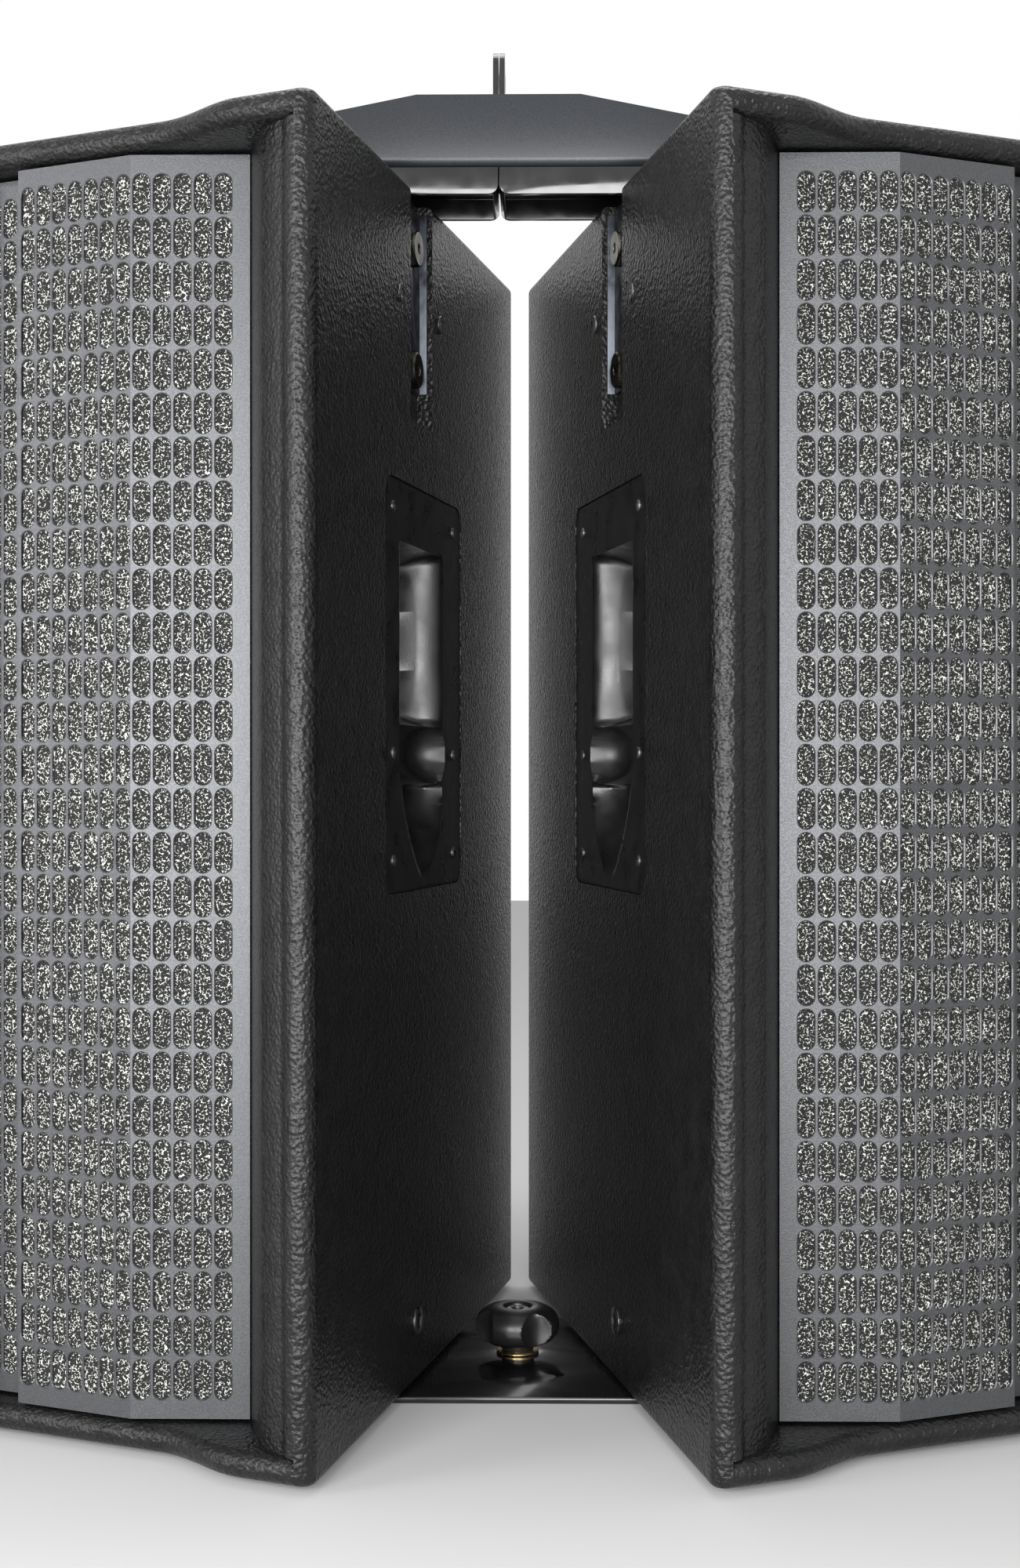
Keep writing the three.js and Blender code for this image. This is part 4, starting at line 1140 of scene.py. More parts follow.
@dataclass
class Grille:
    """The folded, slotted front sheet: side facets, front facets and a set-back middle strip."""

    side: Side
    field: SlotField
    sheet: float = 0.0015
    side_gap: float = 0.002
    edge_depth: float = 0.0575
    side_facet: float = 0.0796
    facet_angle: float = math.radians(22.5)
    front_facet: float = 0.0895
    setback: float = 0.018
    step_run: float = 0.001
    bottom: float = 0.020
    top: float = 0.860
    rows: int = 28
    pitch_up: float = 0.0292
    slot: tuple[float, float] = (0.0110, 0.0267)
    side_margin: float = 0.0108
    rim: float = 0.0007

    def line(self) -> list[Vector]:
        """The sheet's front face in plan, from -x to +x.

        Returns:
            The fold points.
        """
        edge = SIZE.half - SIZE.steep[0] - self.side_gap
        side_x = edge - self.side_facet * math.cos(self.facet_angle)
        front_y = self.edge_depth - self.side_facet * math.sin(self.facet_angle)
        front_x = side_x - self.front_facet
        half = [
            (edge, self.edge_depth), (side_x, front_y), (front_x, front_y),
            (front_x - self.step_run, front_y + self.setback)]
        return [Vector((-x, y)) for x, y in half] + [Vector(p) for p in reversed(half)]

    def cell(self, pitch: float) -> bpy.types.Object:
        """One slotted cell, its front at y = 0 and its back at the sheet's thickness.

        Args:
            pitch: The cell's width.

        Returns:
            The cell, as an object.
        """
        wide, tall = self.slot
        radius, centre = wide / 2, tall / 2 - wide / 2
        rings: list[list[tuple[float, float, float]]] = [[], [], [], [], [], []]
        for half in (0, 1):
            for i in range(9):
                angle = math.pi * (half + i / 8)
                c, s = math.cos(angle), math.sin(angle)
                lift = centre if half == 0 else -centre
                if abs(c) > abs(s) + 1e-9:
                    edge = (math.copysign(pitch / 2, c), lift + (self.pitch_up / 2 - centre) * s / abs(c))
                else:
                    edge = (pitch / 2 * c / abs(s), math.copysign(self.pitch_up / 2, s))
                for ring, grow, y in ((1, self.rim, 0.0), (2, 0.0, self.rim), (3, 0.0, self.sheet)):
                    rings[ring].append(((radius + grow) * c, y, lift + (radius + grow) * s))
                rings[0].append((edge[0], 0.0, edge[1]))
                rings[4].append((edge[0], self.sheet, edge[1]))
        bm = bmesh.new()
        made = [[bm.verts.new(p) for p in ring] for ring in rings[:5]]
        count = len(made[0])
        for lower, upper in zip(made, made[1:]):
            for i in range(count):
                j = (i + 1) % count
                bm.faces.new((lower[i], lower[j], upper[j], upper[i]))
        bmesh.ops.remove_doubles(bm, verts=bm.verts, dist=1e-7)
        bm.normal_update()
        front = [face for face in bm.faces if abs(face.calc_center_median().y) < 1e-7]
        if front and front[0].normal.y > 0:
            bmesh.ops.reverse_faces(bm, faces=bm.faces)
        return new_piece("slot_cell", mesh_of(bm, "slot_cell"))

    def facet(self, start: Vector, end: Vector, columns: int, near: float, far: float) -> list[bmesh.types.BMesh]:
        """One flat facet: its field of slots and the plain strips round them.

        Args:
            start: The facet's start in plan.
            end: The facet's end in plan.
            columns: How many columns of slots.
            near: The plain strip at its start.
            far: The plain strip at its end.

        Returns:
            Its meshes, in the cabinet's frame.
        """
        length = (end - start).length
        pitch = (length - near - far) / columns
        turn = Matrix.Rotation(math.atan2(end.y - start.y, end.x - start.x), 4, "Z")
        middle_z = (self.top + self.bottom) / 2
        into = Matrix.Translation((start.x, start.y, 0)) @ turn
        cell = self.cell(pitch)
        slots = self.field.lay(cell, columns, self.rows, pitch, self.pitch_up, GRILLE)
        bpy.data.objects.remove(cell)
        holes = bmesh.new()
        holes.from_mesh(slots)
        bpy.data.meshes.remove(slots)
        bmesh.ops.transform(
            holes, matrix=into @ Matrix.Translation((near + columns * pitch / 2, 0, middle_z)), verts=holes.verts)
        low, high = middle_z - self.rows * self.pitch_up / 2, middle_z + self.rows * self.pitch_up / 2
        plain = [
            ((0, 0, self.bottom), (length, self.sheet, low)),
            ((0, 0, high), (length, self.sheet, self.top)),
        ]
        if near > 1e-4:
            plain.append(((0, 0, low), (near, self.sheet, high)))
        if far > 1e-4:
            plain.append(((length - far, 0, low), (length, self.sheet, high)))
        strips = [bm_box(a, b) for a, b in plain]
        for strip in strips:
            bmesh.ops.transform(strip, matrix=into, verts=strip.verts)
        return [holes, *strips]

    def build(self) -> None:
        """Makes the grille and seats it."""
        p = self.line()
        parts = [
            *self.facet(p[0], p[1], 5, self.side_margin, 0.0005),
            *self.facet(p[1], p[2], 7, 0.0, 0.0),
            *self.facet(p[3], p[4], 3, 0.001, 0.001),
            *self.facet(p[5], p[6], 7, 0.0, 0.0),
            *self.facet(p[6], p[7], 5, 0.0005, self.side_margin),
        ]
        for a, b in ((p[2], p[3]), (p[4], p[5])):
            low, high = (a, b) if a.y < b.y else (b, a)
            left, right = min(a.x, b.x), max(a.x, b.x)
            parts.append(bm_box((left, low.y, self.bottom), (right, high.y + self.sheet, self.top)))
        whole = placed(joined(parts), SIZE.place(self.side))
        mesh = mesh_of(whole, "grille")
        mesh.materials.clear()
        piece = new_piece(f"{self.side.label}_slotted_grille", mesh)
        finish_piece(piece, GRILLE, "array", [f"{self.side.label}_grille"])


# ---- Hand grips ---------------------------------------------------------------------------------------------


class ScrewRow:
    """A Geometry Nodes tree that sets one screw at each vertex of a mesh."""

    def __init__(self) -> None:
        """Builds the tree."""
        tree = bpy.data.node_groups.new("screw_row", "GeometryNodeTree")
        face = tree.interface
        face.new_socket("Geometry", in_out="INPUT", socket_type="NodeSocketGeometry")
        face.new_socket("Screw", in_out="INPUT", socket_type="NodeSocketObject")
        face.new_socket("Finish", in_out="INPUT", socket_type="NodeSocketMaterial")
        face.new_socket("Geometry", in_out="OUTPUT", socket_type="NodeSocketGeometry")
        add, link = tree.nodes.new, tree.links.new
        source, sink = add("NodeGroupInput"), add("NodeGroupOutput")
        info = add("GeometryNodeObjectInfo")
        spread = add("GeometryNodeInstanceOnPoints")
        real = add("GeometryNodeRealizeInstances")
        paint = add("GeometryNodeSetMaterial")
        link(source.outputs["Geometry"], spread.inputs["Points"])
        link(source.outputs["Screw"], info.inputs["Object"])
        link(info.outputs["Geometry"], spread.inputs["Instance"])
        link(spread.outputs["Instances"], real.inputs["Geometry"])
        link(real.outputs["Geometry"], paint.inputs["Geometry"])
        link(source.outputs["Finish"], paint.inputs["Material"])
        link(paint.outputs["Geometry"], sink.inputs[0])
        self.tree = tree

    def set_at(self, screw: bmesh.types.BMesh, points: Sequence[Point], finish: Finish) -> bmesh.types.BMesh:
        """Copies a screw to each point.

        Args:
            screw: The screw, at the origin.
            points: Where each one goes.
            finish: Their finish.

        Returns:
            All of them as one mesh.
        """
        pattern = new_piece("screw_pattern", mesh_of(screw, "screw_pattern"))
        seed = bpy.data.meshes.new("screw_places")
        seed.from_pydata([tuple(p) for p in points], [], [])
        values = {"Screw": pattern, "Finish": BOOK.get(finish)}

        def dress(worker: bpy.types.Object) -> None:
            """Adds the tree and sets its inputs.

            Args:
                worker: The working object.
            """
            step = worker.modifiers.new("row", "NODES")
            step.node_group = self.tree
            for item in self.tree.interface.items_tree:
                if item.in_out == "INPUT" and item.name in values:
                    step[item.identifier] = values[item.name]

        mesh = evaluated(seed, dress)
        bpy.data.objects.remove(pattern)
        bm = bmesh.new()
        bm.from_mesh(mesh)
        return bm


def socket_screw(radius: float, face: float, hex_radius: float, sunk: float) -> bmesh.types.BMesh:
    """A flush screw with a hexagon recess, facing +x, its face at x = face.

    Args:
        radius: The head's radius.
        face: Where its face lies.
        hex_radius: The recess's radius, to its corners.
        sunk: How deep the recess is.

    Returns:
        The screw.
    """
    rings = []
    along = [
        (radius, face - 0.0025), (radius, face - 0.0004), (radius - 0.0004, face), (hex_radius * 1.25, face),
    ]
    sides = 24
    for r, x in along:
        rings.append([
            (x, r * math.cos(2 * math.pi * i / sides), r * math.sin(2 * math.pi * i / sides)) for i in range(sides)])
    for x, scale in ((face - 0.0002, 1.0), (face - sunk, 1.0)):
        ring = []
        for i in range(sides):
            angle = 2 * math.pi * i / sides
            local = (angle % (math.pi / 3)) - math.pi / 6
            r = scale * hex_radius * math.cos(math.pi / 6) / math.cos(local)
            ring.append((x, r * math.cos(angle), r * math.sin(angle)))
        rings.append(ring)
    return bm_loft(rings)


@dataclass
class HandGrip:
    """A recessed hand grip: a screwed plate with a bowed lip over a deep pocket, and a scoop below."""

    side: Side
    wall: Wall
    screws: ScrewRow
    along: float = 0.268
    height: float = 0.512
    plate: tuple[float, float] = (0.208, 0.297)
    radius: float = 0.014
    sunk: float = 0.0004
    thickness: float = 0.003
    half: float = 0.0685
    upper: tuple[float, float] = (-0.0265, 0.1045)
    trough: tuple[float, float, float] = (0.056, -0.0475, 0.0225)
    scoop: tuple[float, float] = (-0.1400, -0.0700)
    depth: float = 0.043
    crest: float = 0.048
    lip_drop: float = 0.022
    bow: float = 0.002
    screw_columns: tuple[float, float] = (-0.0840, 0.0812)
    screw_rows: tuple[float, float, float] = (0.1275, -0.048, -0.1248)
    columns: int = 130
    rows: int = 190

    @staticmethod
    def _step(value: float, low: float, high: float) -> float:
        """A smooth rise from 0 at low to 1 at high."""
        t = min(max((value - low) / (high - low), 0.0), 1.0)
        return t * t * (3 - 2 * t)

    def _face(self, u: float, edge: float, drop: float) -> float:
        """The depth of a steep face that rounds over from the plate at the crest and drops to its inner edge.

        Args:
            u: The distance back along the wall, from the plate's middle.
            edge: Where the face ends.
            drop: How deep it is there.

        Returns:
            The depth.
        """
        run = max((self.crest - u) / (self.crest - edge), 0.0)
        if run >= 1.0:
            return drop
        return drop * (1 - math.sqrt(1 - run * run)) * 0.25 + drop * 0.75 * run**1.6

    def _bay(self, u: float, v: float) -> float:
        """The upper bay's depth: the grip's face at the rear, then a deep pocket up to the front wall.

        Args:
            u: The distance back along the wall, from the plate's middle.
            v: The height, from the plate's middle.

        Returns:
            The depth.
        """
        low, high = self.upper
        lift = (v - (low + high) / 2) / ((high - low) / 2)
        end = abs(lift)
        if end >= 1.0:
            return 0.0
        edge = self.crest - 0.010 - self.bow * (1 - lift * lift)
        ends = math.sqrt(1 - self._step(end, 0.86, 1.0) ** 2)
        if u > edge:
            return self._face(u, edge, self.lip_drop) * ends
        fall = self._step(edge - u, 0.0, 0.0012)
        wall = self._step(u, -self.half + 0.001, -self.half + 0.005)
        dome = math.sqrt(max(1 - self._step(end, 0.62, 1.0) ** 2, 0.0))
        return (self.lip_drop + (self.depth - self.lip_drop) * fall) * wall * min(ends, 0.25 + 0.75 * dome)

    def _trough(self, u: float, v: float) -> float:
        """The round-ended dish between the bay and the scoop, with a faint ridge down its middle.

        Args:
            u: The distance back along the wall, from the plate's middle.
            v: The height, from the plate's middle.

        Returns:
            The depth.
        """
        rear, centre_v, radius = self.trough
        past = max(u - (rear - radius), 0.0) + max(-self.half + 0.004 - u, 0.0) * 4
        reach = math.hypot(past, v - centre_v) / radius
        if reach >= 1.0:
            return 0.0
        ridge = 0.0010 * max(0.0, 1 - abs(u - 0.020) / 0.0014)
        return max(0.026 * (1 - reach**3) ** 0.6 - ridge, 0.0)

    def _scoop(self, u: float, v: float) -> float:
        """The lower scoop: deepest at its top and tapering down to a tongue.

        Args:
            u: The distance back along the wall, from the plate's middle.
            v: The height, from the plate's middle.

        Returns:
            The depth.
        """
        low, high = self.scoop
        if not low < v < high:
            return 0.0
        t = (v - low) / (high - low)
        drop = 0.027 * self._step(t, 0.0, 0.88) ** 0.8 * min(1.0, (1 - t) / 0.04)
        front = -self.half + 0.006 + 0.050 * (1 - t) ** 1.5
        crest = self.crest - 0.040 * (1 - t) ** 2.0
        run = min(max((crest - u) / (0.012 + 0.030 * (1 - t)), 0.0), 1.0)
        return drop * self._step(run, -0.15, 1.0) * self._step(u, front, front + 0.005) if run > 0 else 0.0

    def sink(self, u: float, v: float) -> float:
        """The dish's depth at a place on the plate, u along the wall and v up from the middle."""
        return max(self._bay(u, v), self._trough(u, v), self._scoop(u, v))

    def dish_mesh(self) -> bmesh.types.BMesh:
        """The moulded dish with its plate, as a shell closed at the back.

        Returns:
            The shell.
        """
        half_w, half_h = self.plate[0] / 2, self.plate[1] / 2
        bm = bmesh.new()
        front: list[list[bmesh.types.BMVert]] = []
        back: list[list[bmesh.types.BMVert]] = []
        for j in range(self.rows + 1):
            front_row, back_row = [], []
            for i in range(self.columns + 1):
                u = half_w * (2 * i / self.columns - 1)
                v = half_h * (2 * j / self.rows - 1)
                u, v = self._rounded(u, v, half_w, half_h)
                deep = self.sink(u, v)
                edge = min(half_w - abs(u), half_h - abs(v))
                round_off = 0.0008 * (1 - self._step(edge, 0.0, 0.0012))
                front_row.append(bm.verts.new((-self.sunk - deep - round_off, self.along + u, self.height + v)))
                inset = 1 - 0.0002
                back_row.append(bm.verts.new(
                    (-self.sunk - self.thickness - deep * 0.96, self.along + u * inset, self.height + v * inset)))
            front.append(front_row)
            back.append(back_row)
        for j in range(self.rows):
            for i in range(self.columns):
                bm.faces.new((front[j][i], front[j][i + 1], front[j + 1][i + 1], front[j + 1][i]))
                bm.faces.new((back[j][i], back[j + 1][i], back[j + 1][i + 1], back[j][i + 1]))
        ring_front, ring_back = (
            rows[0] + [row[-1] for row in rows[1:]] + rows[-1][-2::-1] + [row[0] for row in rows[-2:0:-1]]
            for rows in (front, back))
        for i in range(len(ring_front)):
            j = (i + 1) % len(ring_front)
            bm.faces.new((ring_front[i], ring_back[i], ring_back[j], ring_front[j]))
        return outward(bm)

    def _rounded(self, u: float, v: float, half_w: float, half_h: float) -> tuple[float, float]:
        """Draws points near a corner in to its round.

        Args:
            u: The distance back along the wall, from the plate's middle.
            v: The height, from the plate's middle.
            half_w: Half the plate's width.
            half_h: Half the plate's height.

        Returns:
            The moved point.
        """
        du, dv = abs(u) - (half_w - self.radius), abs(v) - (half_h - self.radius)
        if du > 0 and dv > 0:
            reach = max(du, dv) / math.hypot(du, dv)
            du, dv = du * reach, dv * reach
            return (
                math.copysign(half_w - self.radius + du, u),
                math.copysign(half_h - self.radius + dv, v))
        return u, v

    def build(self) -> None:
        """Makes the grip and its screws and seats them."""
        place = SIZE.wall_place(self.side, self.wall)
        name = f"{self.side.label}_{self.wall.label}"
        whole = placed(self.dish_mesh(), place)
        mesh = smoothed(mesh_of(whole, "grip"), 50)
        finish_piece(new_piece(f"{name}_hand_grip", mesh), GRIP_PLASTIC, "array", [f"{name}_handle"])
        points = [
            (0, self.along + u, self.height + v)
            for u in self.screw_columns for v in self.screw_rows
        ]
        screw = socket_screw(0.0042, 0.0005, 0.0016, 0.0018)
        row = placed(self.screws.set_at(screw, points, ZINC), place)
        mesh = smoothed(mesh_of(row, "grip_screws"), 30)
        finish_piece(new_piece(f"{name}_grip_screws", mesh), ZINC, "array", ())


# ---- Rigging rails ------------------------------------------------------------------------------------------


@dataclass
class RiggingRail:
    """A side wall's rigging rail, its knurled discs, and the bolts beside it."""

    side: Side
    wall: Wall
    screws: ScrewRow
    along: float = 0.2568
    top: float = 0.873
    length: float = 0.136
    back: float = -0.0117
    sheet: float = 0.0025
    disc_radius: float = 0.0135
    disc_thickness: float = 0.0069
    disc_heights: tuple[float, float] = (0.841, 0.7503)
    knurls: int = 40
    knurl_depth: float = 0.0005
    hexagon: float = 0.003
    stud_radius: float = 0.0039
    bolt_offset: float = 0.054
    bolt_height: float = 0.7955
    insert_shift: float = 0.010
    insert_height: float = 0.0440

    def disc(self) -> bmesh.types.BMesh:
        """A knurled disc with a hexagon socket, facing +x, its seat at x = 0.

        Returns:
            The disc.
        """
        face = self.sheet + 0.0003
        sides = self.knurls * 2
        profile = [
            (0.9, 0.0), (1.0, 0.0006), (1.0, self.disc_thickness - 0.0012), (0.9, self.disc_thickness),
            (0.30, self.disc_thickness), (0.27, self.disc_thickness - 0.0006)]
        rings = []
        for scale, x in profile:
            ring = []
            for i in range(sides):
                bite = self.knurl_depth if scale == 1.0 and i % 2 else 0.0
                r = self.disc_radius * scale - bite
                angle = 2 * math.pi * i / sides
                ring.append((face + x, r * math.cos(angle), r * math.sin(angle)))
            rings.append(ring)
        for x in (self.disc_thickness - 0.0007, self.disc_thickness - 0.004):
            ring = []
            for i in range(sides):
                angle = 2 * math.pi * i / sides
                local = (angle % (math.pi / 3)) - math.pi / 6
                r = self.hexagon / math.cos(local)
                ring.append((face + x, r * math.cos(angle), r * math.sin(angle)))
            rings.append(ring)
        stud = bm_tube(self.stud_radius, 0.0005, face + 0.0005, 24, Matrix.Rotation(math.pi / 2, 4, "Y"))
        return joined([bm_loft(rings), stud])

    def build(self) -> None:
        """Makes the pieces and seats them."""
        place = SIZE.wall_place(self.side, self.wall)
        name = f"{self.side.label}_{self.wall.label}"
        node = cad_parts[f"{name}_rail"]
        mesh = softened(planar(node.data), 0.0004, 2)
        finish_piece(new_piece(f"{name}_rigging_rail", mesh), RAIL_STEEL, "array", [f"{name}_rail"])
        for i, height in enumerate(self.disc_heights):
            at = place @ Matrix.Translation((self.back, self.along, height))
            mesh = smoothed(mesh_of(placed(self.disc(), at), "disc"), 25)
            disc_node = f"{name}_disc_{i + 1}"
            finish_piece(new_piece(f"{name}_knurled_disc_{i + 1}", mesh), DARK_STEEL, disc_node, [disc_node])
        points = [(0, self.along + sign * self.bolt_offset, self.bolt_height) for sign in (-1, 1)]
        row = self.screws.set_at(socket_screw(0.0070, 0.0006, 0.0026, 0.0022), points, ZINC)
        points = [(0, self.along - self.insert_shift, self.insert_height)]
        insert = self.screws.set_at(self.insert(), points, ZINC)
        mesh = smoothed(mesh_of(placed(joined([row, insert]), place), "bolts"), 30)
        finish_piece(new_piece(f"{name}_wall_bolts", mesh), ZINC, "array", ())

    def insert(self) -> bmesh.types.BMesh:
        """A round threaded insert with a dished face, facing +x.

        Returns:
            The insert.
        """
        rings = []
        profile = (
            (0.0105, -0.003), (0.0105, 0.0004), (0.0098, 0.0008), (0.0062, 0.0008), (0.0052, -0.0002),
            (0.0052, -0.0045))
        for r, x in profile:
            rings.append([
                (x, r * math.cos(2 * math.pi * i / 32), r * math.sin(2 * math.pi * i / 32)) for i in range(32)])
        return bm_loft(rings)


# ---- Star knob ----------------------------------------------------------------------------------------------


@dataclass
class StarKnob:
    """The star-grip clamping knob on the base plate, between the cabinets."""

    radius: float = 0.0325
    dents: int = 4
    first_dent: float = math.radians(-60)
    dent_depth: float = 0.0085
    dent_half: tuple[float, float] = (0.0140, 0.0132)
    bottom: float = 0.0123
    top: float = 0.0405
    edge: float = 0.0115
    neck: float = 0.0125
    spindle: float = 0.010
    crown_depth: float = 0.005

    def ring(self, inset: float, z: float, centre: Vector, sides: int = 192) -> list[tuple[float, float, float]]:
        """The outline at a height, with a scooped dent at each of its places.

        Args:
            inset: How far it is drawn in.
            z: Its height.
            centre: The knob's middle.
            sides: How many sides it has.

        Returns:
            The points.
        """
        points = []
        middle = (self.bottom + self.top) / 2
        for i in range(sides):
            angle = 2 * math.pi * i / sides
            pitch = 2 * math.pi / self.dents
            off = (angle - self.first_dent + pitch / 2) % pitch - pitch / 2
            reach = (self.radius * off / self.dent_half[0]) ** 2 + ((z - middle) / self.dent_half[1]) ** 2
            bite = self.dent_depth * max(0.0, 1 - reach) ** 0.8
            r = self.radius - inset - bite
            points.append((centre.x + r * math.cos(angle), centre.y + r * math.sin(angle), z))
        return points

    def build(self) -> None:
        """Makes the knob and its washer and seats them."""
        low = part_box("clamp_knob")[0]
        washer_low, washer_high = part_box("knob_washer")
        centre = (washer_low + washer_high) / 2
        steps = 20
        lower, upper = [], []
        for i in range(steps + 1):
            a = math.pi / 2 * i / steps
            inset = (self.edge + 0.004) * (1 - math.sin(a))
            rise = (self.top - self.bottom) / 2 * (1 - math.cos(a) ** 0.9)
            lower.append(self.ring(inset, self.bottom + rise, centre))
            if i < steps:
                upper.append(self.ring(inset, self.top - rise, centre))
        crown = []
        steps_in = (
            (0.0118, self.top), (0.0105, self.top - 0.0006), (0.0100, self.top - 0.0012),
            (0.0100, self.top - self.crown_depth))
        for r, z in steps_in:
            crown.append([
                (centre.x + r * math.cos(2 * math.pi * i / 192), centre.y + r * math.sin(2 * math.pi * i / 192), z)
                for i in range(192)])
        grip = bm_loft(lower + list(reversed(upper)) + crown)
        at = Matrix.Translation((centre.x, centre.y, 0))
        neck = placed(bm_lathe([
            (0, washer_high.z + 0.0003), (0.0120, washer_high.z + 0.0003), (self.neck, washer_high.z + 0.0012),
            (self.neck, self.bottom - 0.001), (self.neck + 0.003, self.bottom + 0.001), (0, self.bottom + 0.002),
        ], 64), at)
        mesh = smoothed(mesh_of(joined([grip, neck]), "knob"), 40)
        finish_piece(new_piece("star_grip_knob", mesh), SATIN_BLACK, "clamp_knob", ["clamp_knob"])
        stem = placed(bm_lathe([
            (0, low.z), (self.spindle - 0.001, low.z), (self.spindle, low.z + 0.001),
            (self.spindle, washer_high.z + 0.0005), (0, washer_high.z + 0.0005)], 48), at)
        cap = placed(bm_lathe([
            (0.0045, self.top - 0.0048), (0.0095, self.top - 0.0048), (0.0095, self.top - 0.0025),
            (0.0085, self.top - 0.0018), (0.0050, self.top - 0.0018), (0.0045, self.top - 0.0024)], 48), at)
        mesh = smoothed(mesh_of(joined([stem, cap]), "knob_insert"), 30)
        finish_piece(new_piece("knob_insert", mesh), ZINC, "clamp_knob", ())
        outer = (washer_high.x - washer_low.x) / 2
        ring = placed(bm_lathe([
            (self.spindle + 0.0005, washer_low.z), (outer - 0.0005, washer_low.z), (outer, washer_low.z + 0.0005),
            (outer, washer_high.z - 0.0005), (outer - 0.0005, washer_high.z), (self.spindle + 0.0005, washer_high.z),
        ], 72), at)
        mesh = smoothed(mesh_of(ring, "washer"), 30)
        finish_piece(new_piece("brass_washer", mesh), BRASS, "array", ["knob_washer"])


# ---- Top bridge ---------------------------------------------------------------------------------------------


@dataclass
class Bridge:
    """The folded channel across the top, open upwards, with its flanges lower towards the ends."""

    sheet: float = 0.003
    flat_half: float = 0.061
    flange: float = 0.053
    slope: float = 0.2
    bend: float = 0.006
    slot: tuple[float, float] = (0.0064, 0.032)
    bolt_x: float = 0.150
    bolt_hole: float = 0.0065

    def section(self, depth: float, height: float) -> list[tuple[float, float]]:
        """The channel's section in y and z at a flange height, anticlockwise.

        Args:
            depth: The channel's depth.
            height: The flanges' height.

        Returns:
            The points.
        """
        inner = self.bend - self.sheet
        points = [(0.0, height)]
        for cx, start in ((self.bend, math.pi), (depth - self.bend, 1.5 * math.pi)):
            for i in range(7):
                a = start + math.pi / 2 * i / 6
                points.append((cx + self.bend * math.cos(a), self.bend + self.bend * math.sin(a)))
        points += [(depth, height), (depth - self.sheet, height)]
        for cx, start in ((depth - self.bend, 2 * math.pi), (self.bend, 1.5 * math.pi)):
            for i in range(5):
                a = start - math.pi / 2 * i / 4
                points.append((cx + inner * math.cos(a), self.bend + inner * math.sin(a)))
        return points + [(self.sheet, height)]

    def build(self) -> None:
        """Makes the bridge and seats it."""
        low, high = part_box("bridge")
        middle, half = (low.x + high.x) / 2, (high.x - low.x) / 2
        rings = []
        for x in (-half, -self.flat_half, self.flat_half, half):
            height = self.flange - self.slope * max(abs(x) - self.flat_half, 0.0)
            rings.append([(middle + x, low.y + y, low.z + z) for y, z in self.section(high.y - low.y, height)])
        across = (low.y + high.y) / 2
        tools = [bm_box(
            (middle - self.slot[0], across - self.slot[1], low.z - 0.01),
            (middle + self.slot[0], across + self.slot[1], low.z + 0.01))]
        for sign in (-1, 1):
            tools.append(bm_tube(
                self.bolt_hole, low.z - 0.01, low.z + 0.01, 32, Matrix.Translation((sign * self.bolt_x, across, 0))))
        mesh = softened(mesh_of(carved(bm_loft(rings), tools), "bridge"), 0.0006, 2, 30.0)
        finish_piece(new_piece("top_bridge", mesh), BLACK_POWDER, "array", ["bridge"])


# ---- Carried pieces -----------------------------------------------------------------------------------------


@dataclass(frozen=True)
class Carried:
    """A CAD node whose shape is right: its edges are eased and it gets its finish."""

    node: str
    piece: str
    finish: Finish
    ease: float
    slot: str
    body: str = "array"
    segments: int = 2

    def build(self) -> None:
        """Makes the eased copy and seats it."""
        mesh = softened(planar(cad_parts[self.node].data), self.ease, self.segments)
        finish_piece(new_piece(self.piece, mesh), self.finish, self.body, [self.node])


def repaint(node: str, finish: Finish) -> None:
    """Gives a CAD node that stays as it is its finish.

    Args:
        node: The node's name.
        finish: The finish.
    """
    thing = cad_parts[node]
    thing.data.materials.clear()
    thing.data.materials.append(BOOK.get(finish))
    LOG.info("%s repainted", node)


def carried_pieces() -> list[Carried]:
    """The rigging and small fittings that keep their CAD shape.

    Returns:
        The pieces, ready to build.
    """
    made = [
        Carried("right_bracket", "right_lifting_bracket", GLOSS_BLACK, 0.0012, "gloss", segments=3),
        Carried("left_bracket", "left_lifting_bracket", GLOSS_BLACK, 0.0012, "gloss", segments=3),
        Carried("base_plate", "base_plate_steel", GLOSS_BLACK, 0.0018, "gloss", segments=4),
    ]
    for side in Side:
        s = side.label
        made += [
            Carried(f"{s}_bridge_bolt", f"{s}_bridge_bolt_head", ZINC, 0.0005, "steel"),
            Carried(f"{s}_connector_panel", f"{s}_rear_panel", BLACK_POWDER, 0.0004, "panel"),
            Carried(f"{s}_socket_1", f"{s}_cable_socket_1", MATT_PLASTIC, 0.0003, "socket"),
            Carried(f"{s}_socket_2", f"{s}_cable_socket_2", MATT_PLASTIC, 0.0003, "socket"),
            Carried(f"{s}_pole_cup", f"{s}_pole_socket", BLACK_POWDER, 0.0006, "powder"),
        ]
        for foot in ("front_inner", "front_outer", "rear"):
            made.append(Carried(f"{s}_foot_{foot}", f"{s}_rubber_foot_{foot}", RUBBER, 0.0012, "rubber"))
    return made


def dress_insides() -> None:
    """Finishes the pieces that stand inside the cabinets."""
    for side in Side:
        for name, finish in (
            ("baffle", STAINED_PLY), ("foam", FOAM), ("woofer_basket", CASTING), ("woofer_cone", CONE_PAPER),
            ("woofer_magnet", CASTING), ("horn", MATT_PLASTIC), ("horn_driver", CASTING), ("crossover", CIRCUIT),
        ):
            repaint(f"{side.label}_{name}", finish)


# ---- Studio -------------------------------------------------------------------------------------------------


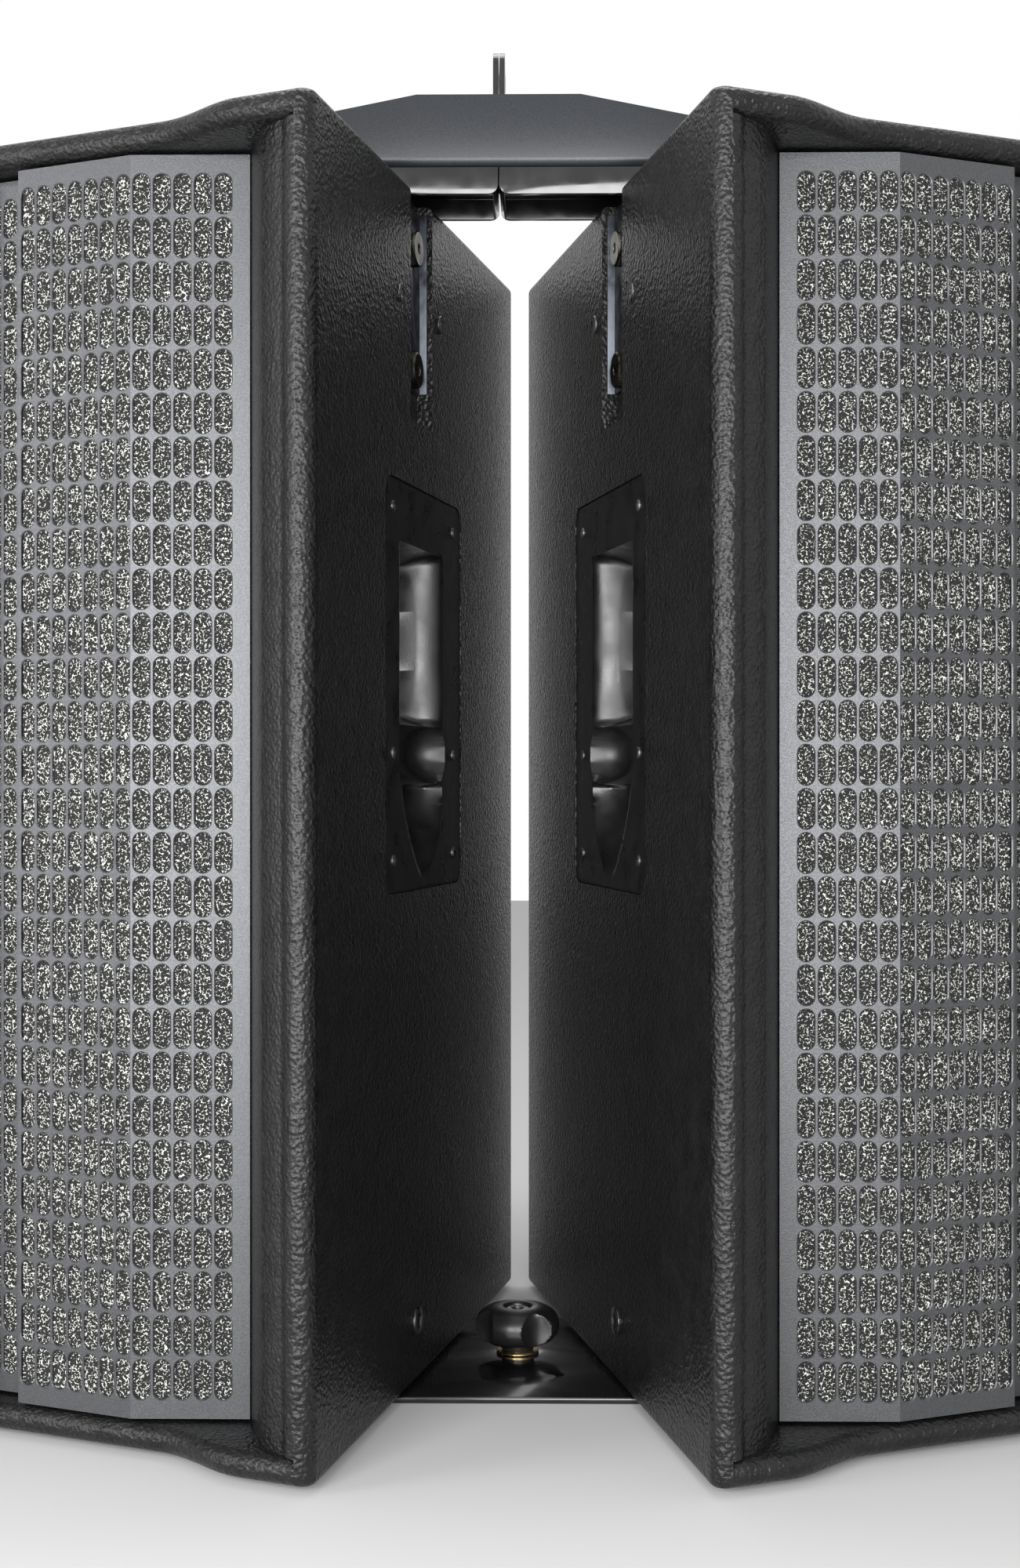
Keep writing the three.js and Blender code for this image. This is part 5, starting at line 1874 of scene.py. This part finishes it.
@dataclass
class Studio:
    """The camera, the soft lights, and the pale floor and surround."""

    lens: float = 46.8
    eye: tuple[float, float, float] = (0.0146, -1.269, 0.4498)
    yaw: float = math.radians(0.74)
    shift: float = -0.0025
    lamps: list[tuple[str, tuple[float, float, float], tuple[float, float, float], tuple[float, float], float]] = field(
        default_factory=lambda: [
            ("left_front", (-0.95, -2.3, 0.62), (0.0, 0.0, 0.45), (0.9, 1.2), 56.0),
            ("right_front", (0.3, -2.4, 0.62), (0.0, 0.0, 0.45), (0.9, 1.2), 44.0),
            ("left_strip", (-2.6, -1.5, 0.75), (-0.3, 0.0, 0.45), (0.9, 1.8), 34.0),
            ("top_soft", (0.0, 0.25, 2.3), (0.0, 0.05, 0.7), (1.4, 1.0), 16.0),
        ])

    def build(self) -> None:
        """Sets the camera, lamps, floor and world."""
        scene = bpy.context.scene
        scene.view_settings.view_transform = "Standard"
        data = bpy.data.cameras.new("camera")
        data.sensor_fit = "VERTICAL"
        data.sensor_height = 36.0
        data.lens = self.lens
        data.shift_y = self.shift
        data.clip_end = 50.0
        camera = bpy.data.objects.new("camera", data)
        scene.collection.objects.link(camera)
        camera.location = (self.eye[0], self.eye[1] + SIZE.front_offset(), self.eye[2])
        camera.rotation_euler = (math.pi / 2, 0, self.yaw)
        scene.camera = camera
        for name, place, aim, size, power in self.lamps:
            lamp = bpy.data.lights.new(name, "AREA")
            lamp.shape = "RECTANGLE"
            lamp.size, lamp.size_y = size
            lamp.energy = power
            holder = bpy.data.objects.new(name, lamp)
            scene.collection.objects.link(holder)
            holder.location = place
            holder.rotation_euler = (Vector(aim) - Vector(place)).to_track_quat("-Z", "Y").to_euler()
        self.floor()
        self.world()

    def floor(self) -> None:
        """A plain pale floor."""
        bm = bmesh.new()
        bmesh.ops.create_grid(bm, x_segments=1, y_segments=1, size=6.0)
        floor = new_piece("floor", mesh_of(bm, "floor"))
        material = bpy.data.materials.new("pale_floor")
        material.use_nodes = True
        shader = material.node_tree.nodes["Principled BSDF"]
        shader.inputs["Base Color"].default_value = (0.72, 0.72, 0.72, 1)
        shader.inputs["Roughness"].default_value = 0.8
        floor.data.materials.append(material)

    def world(self) -> None:
        """A soft surround that the camera, gloss and glass see as white."""
        world = bpy.data.worlds.new("surround")
        world.use_nodes = True
        bpy.context.scene.world = world
        tree = world.node_tree
        back = tree.nodes["Background"]
        back.inputs["Color"].default_value = (1, 1, 1, 1)
        path = tree.nodes.new("ShaderNodeLightPath")
        strength = tree.nodes.new("ShaderNodeMapRange")
        strength.inputs["To Min"].default_value = 0.5
        strength.inputs["To Max"].default_value = 1.0
        seen = path.outputs["Is Camera Ray"]
        for other in ("Is Glossy Ray", "Is Transmission Ray"):
            either = tree.nodes.new("ShaderNodeMath")
            either.operation = "MAXIMUM"
            tree.links.new(seen, either.inputs[0])
            tree.links.new(path.outputs[other], either.inputs[1])
            seen = either.outputs[0]
        tree.links.new(seen, strength.inputs["Value"])
        tree.links.new(strength.outputs["Result"], back.inputs["Strength"])


def main() -> None:
    """Builds every sub-assembly in order."""
    logging.basicConfig(level=logging.INFO, format="%(name)s: %(message)s")
    Studio().build()
    slots, screws = SlotField(), ScrewRow()
    for side in Side:
        CabinetShell(side).build()
        Grille(side, slots).build()
        for wall in Wall:
            HandGrip(side, wall, screws).build()
            RiggingRail(side, wall, screws).build()
    StarKnob().build()
    Bridge().build()
    for piece in carried_pieces():
        piece.build()
    dress_insides()


if __name__ == "__main__":
    main()
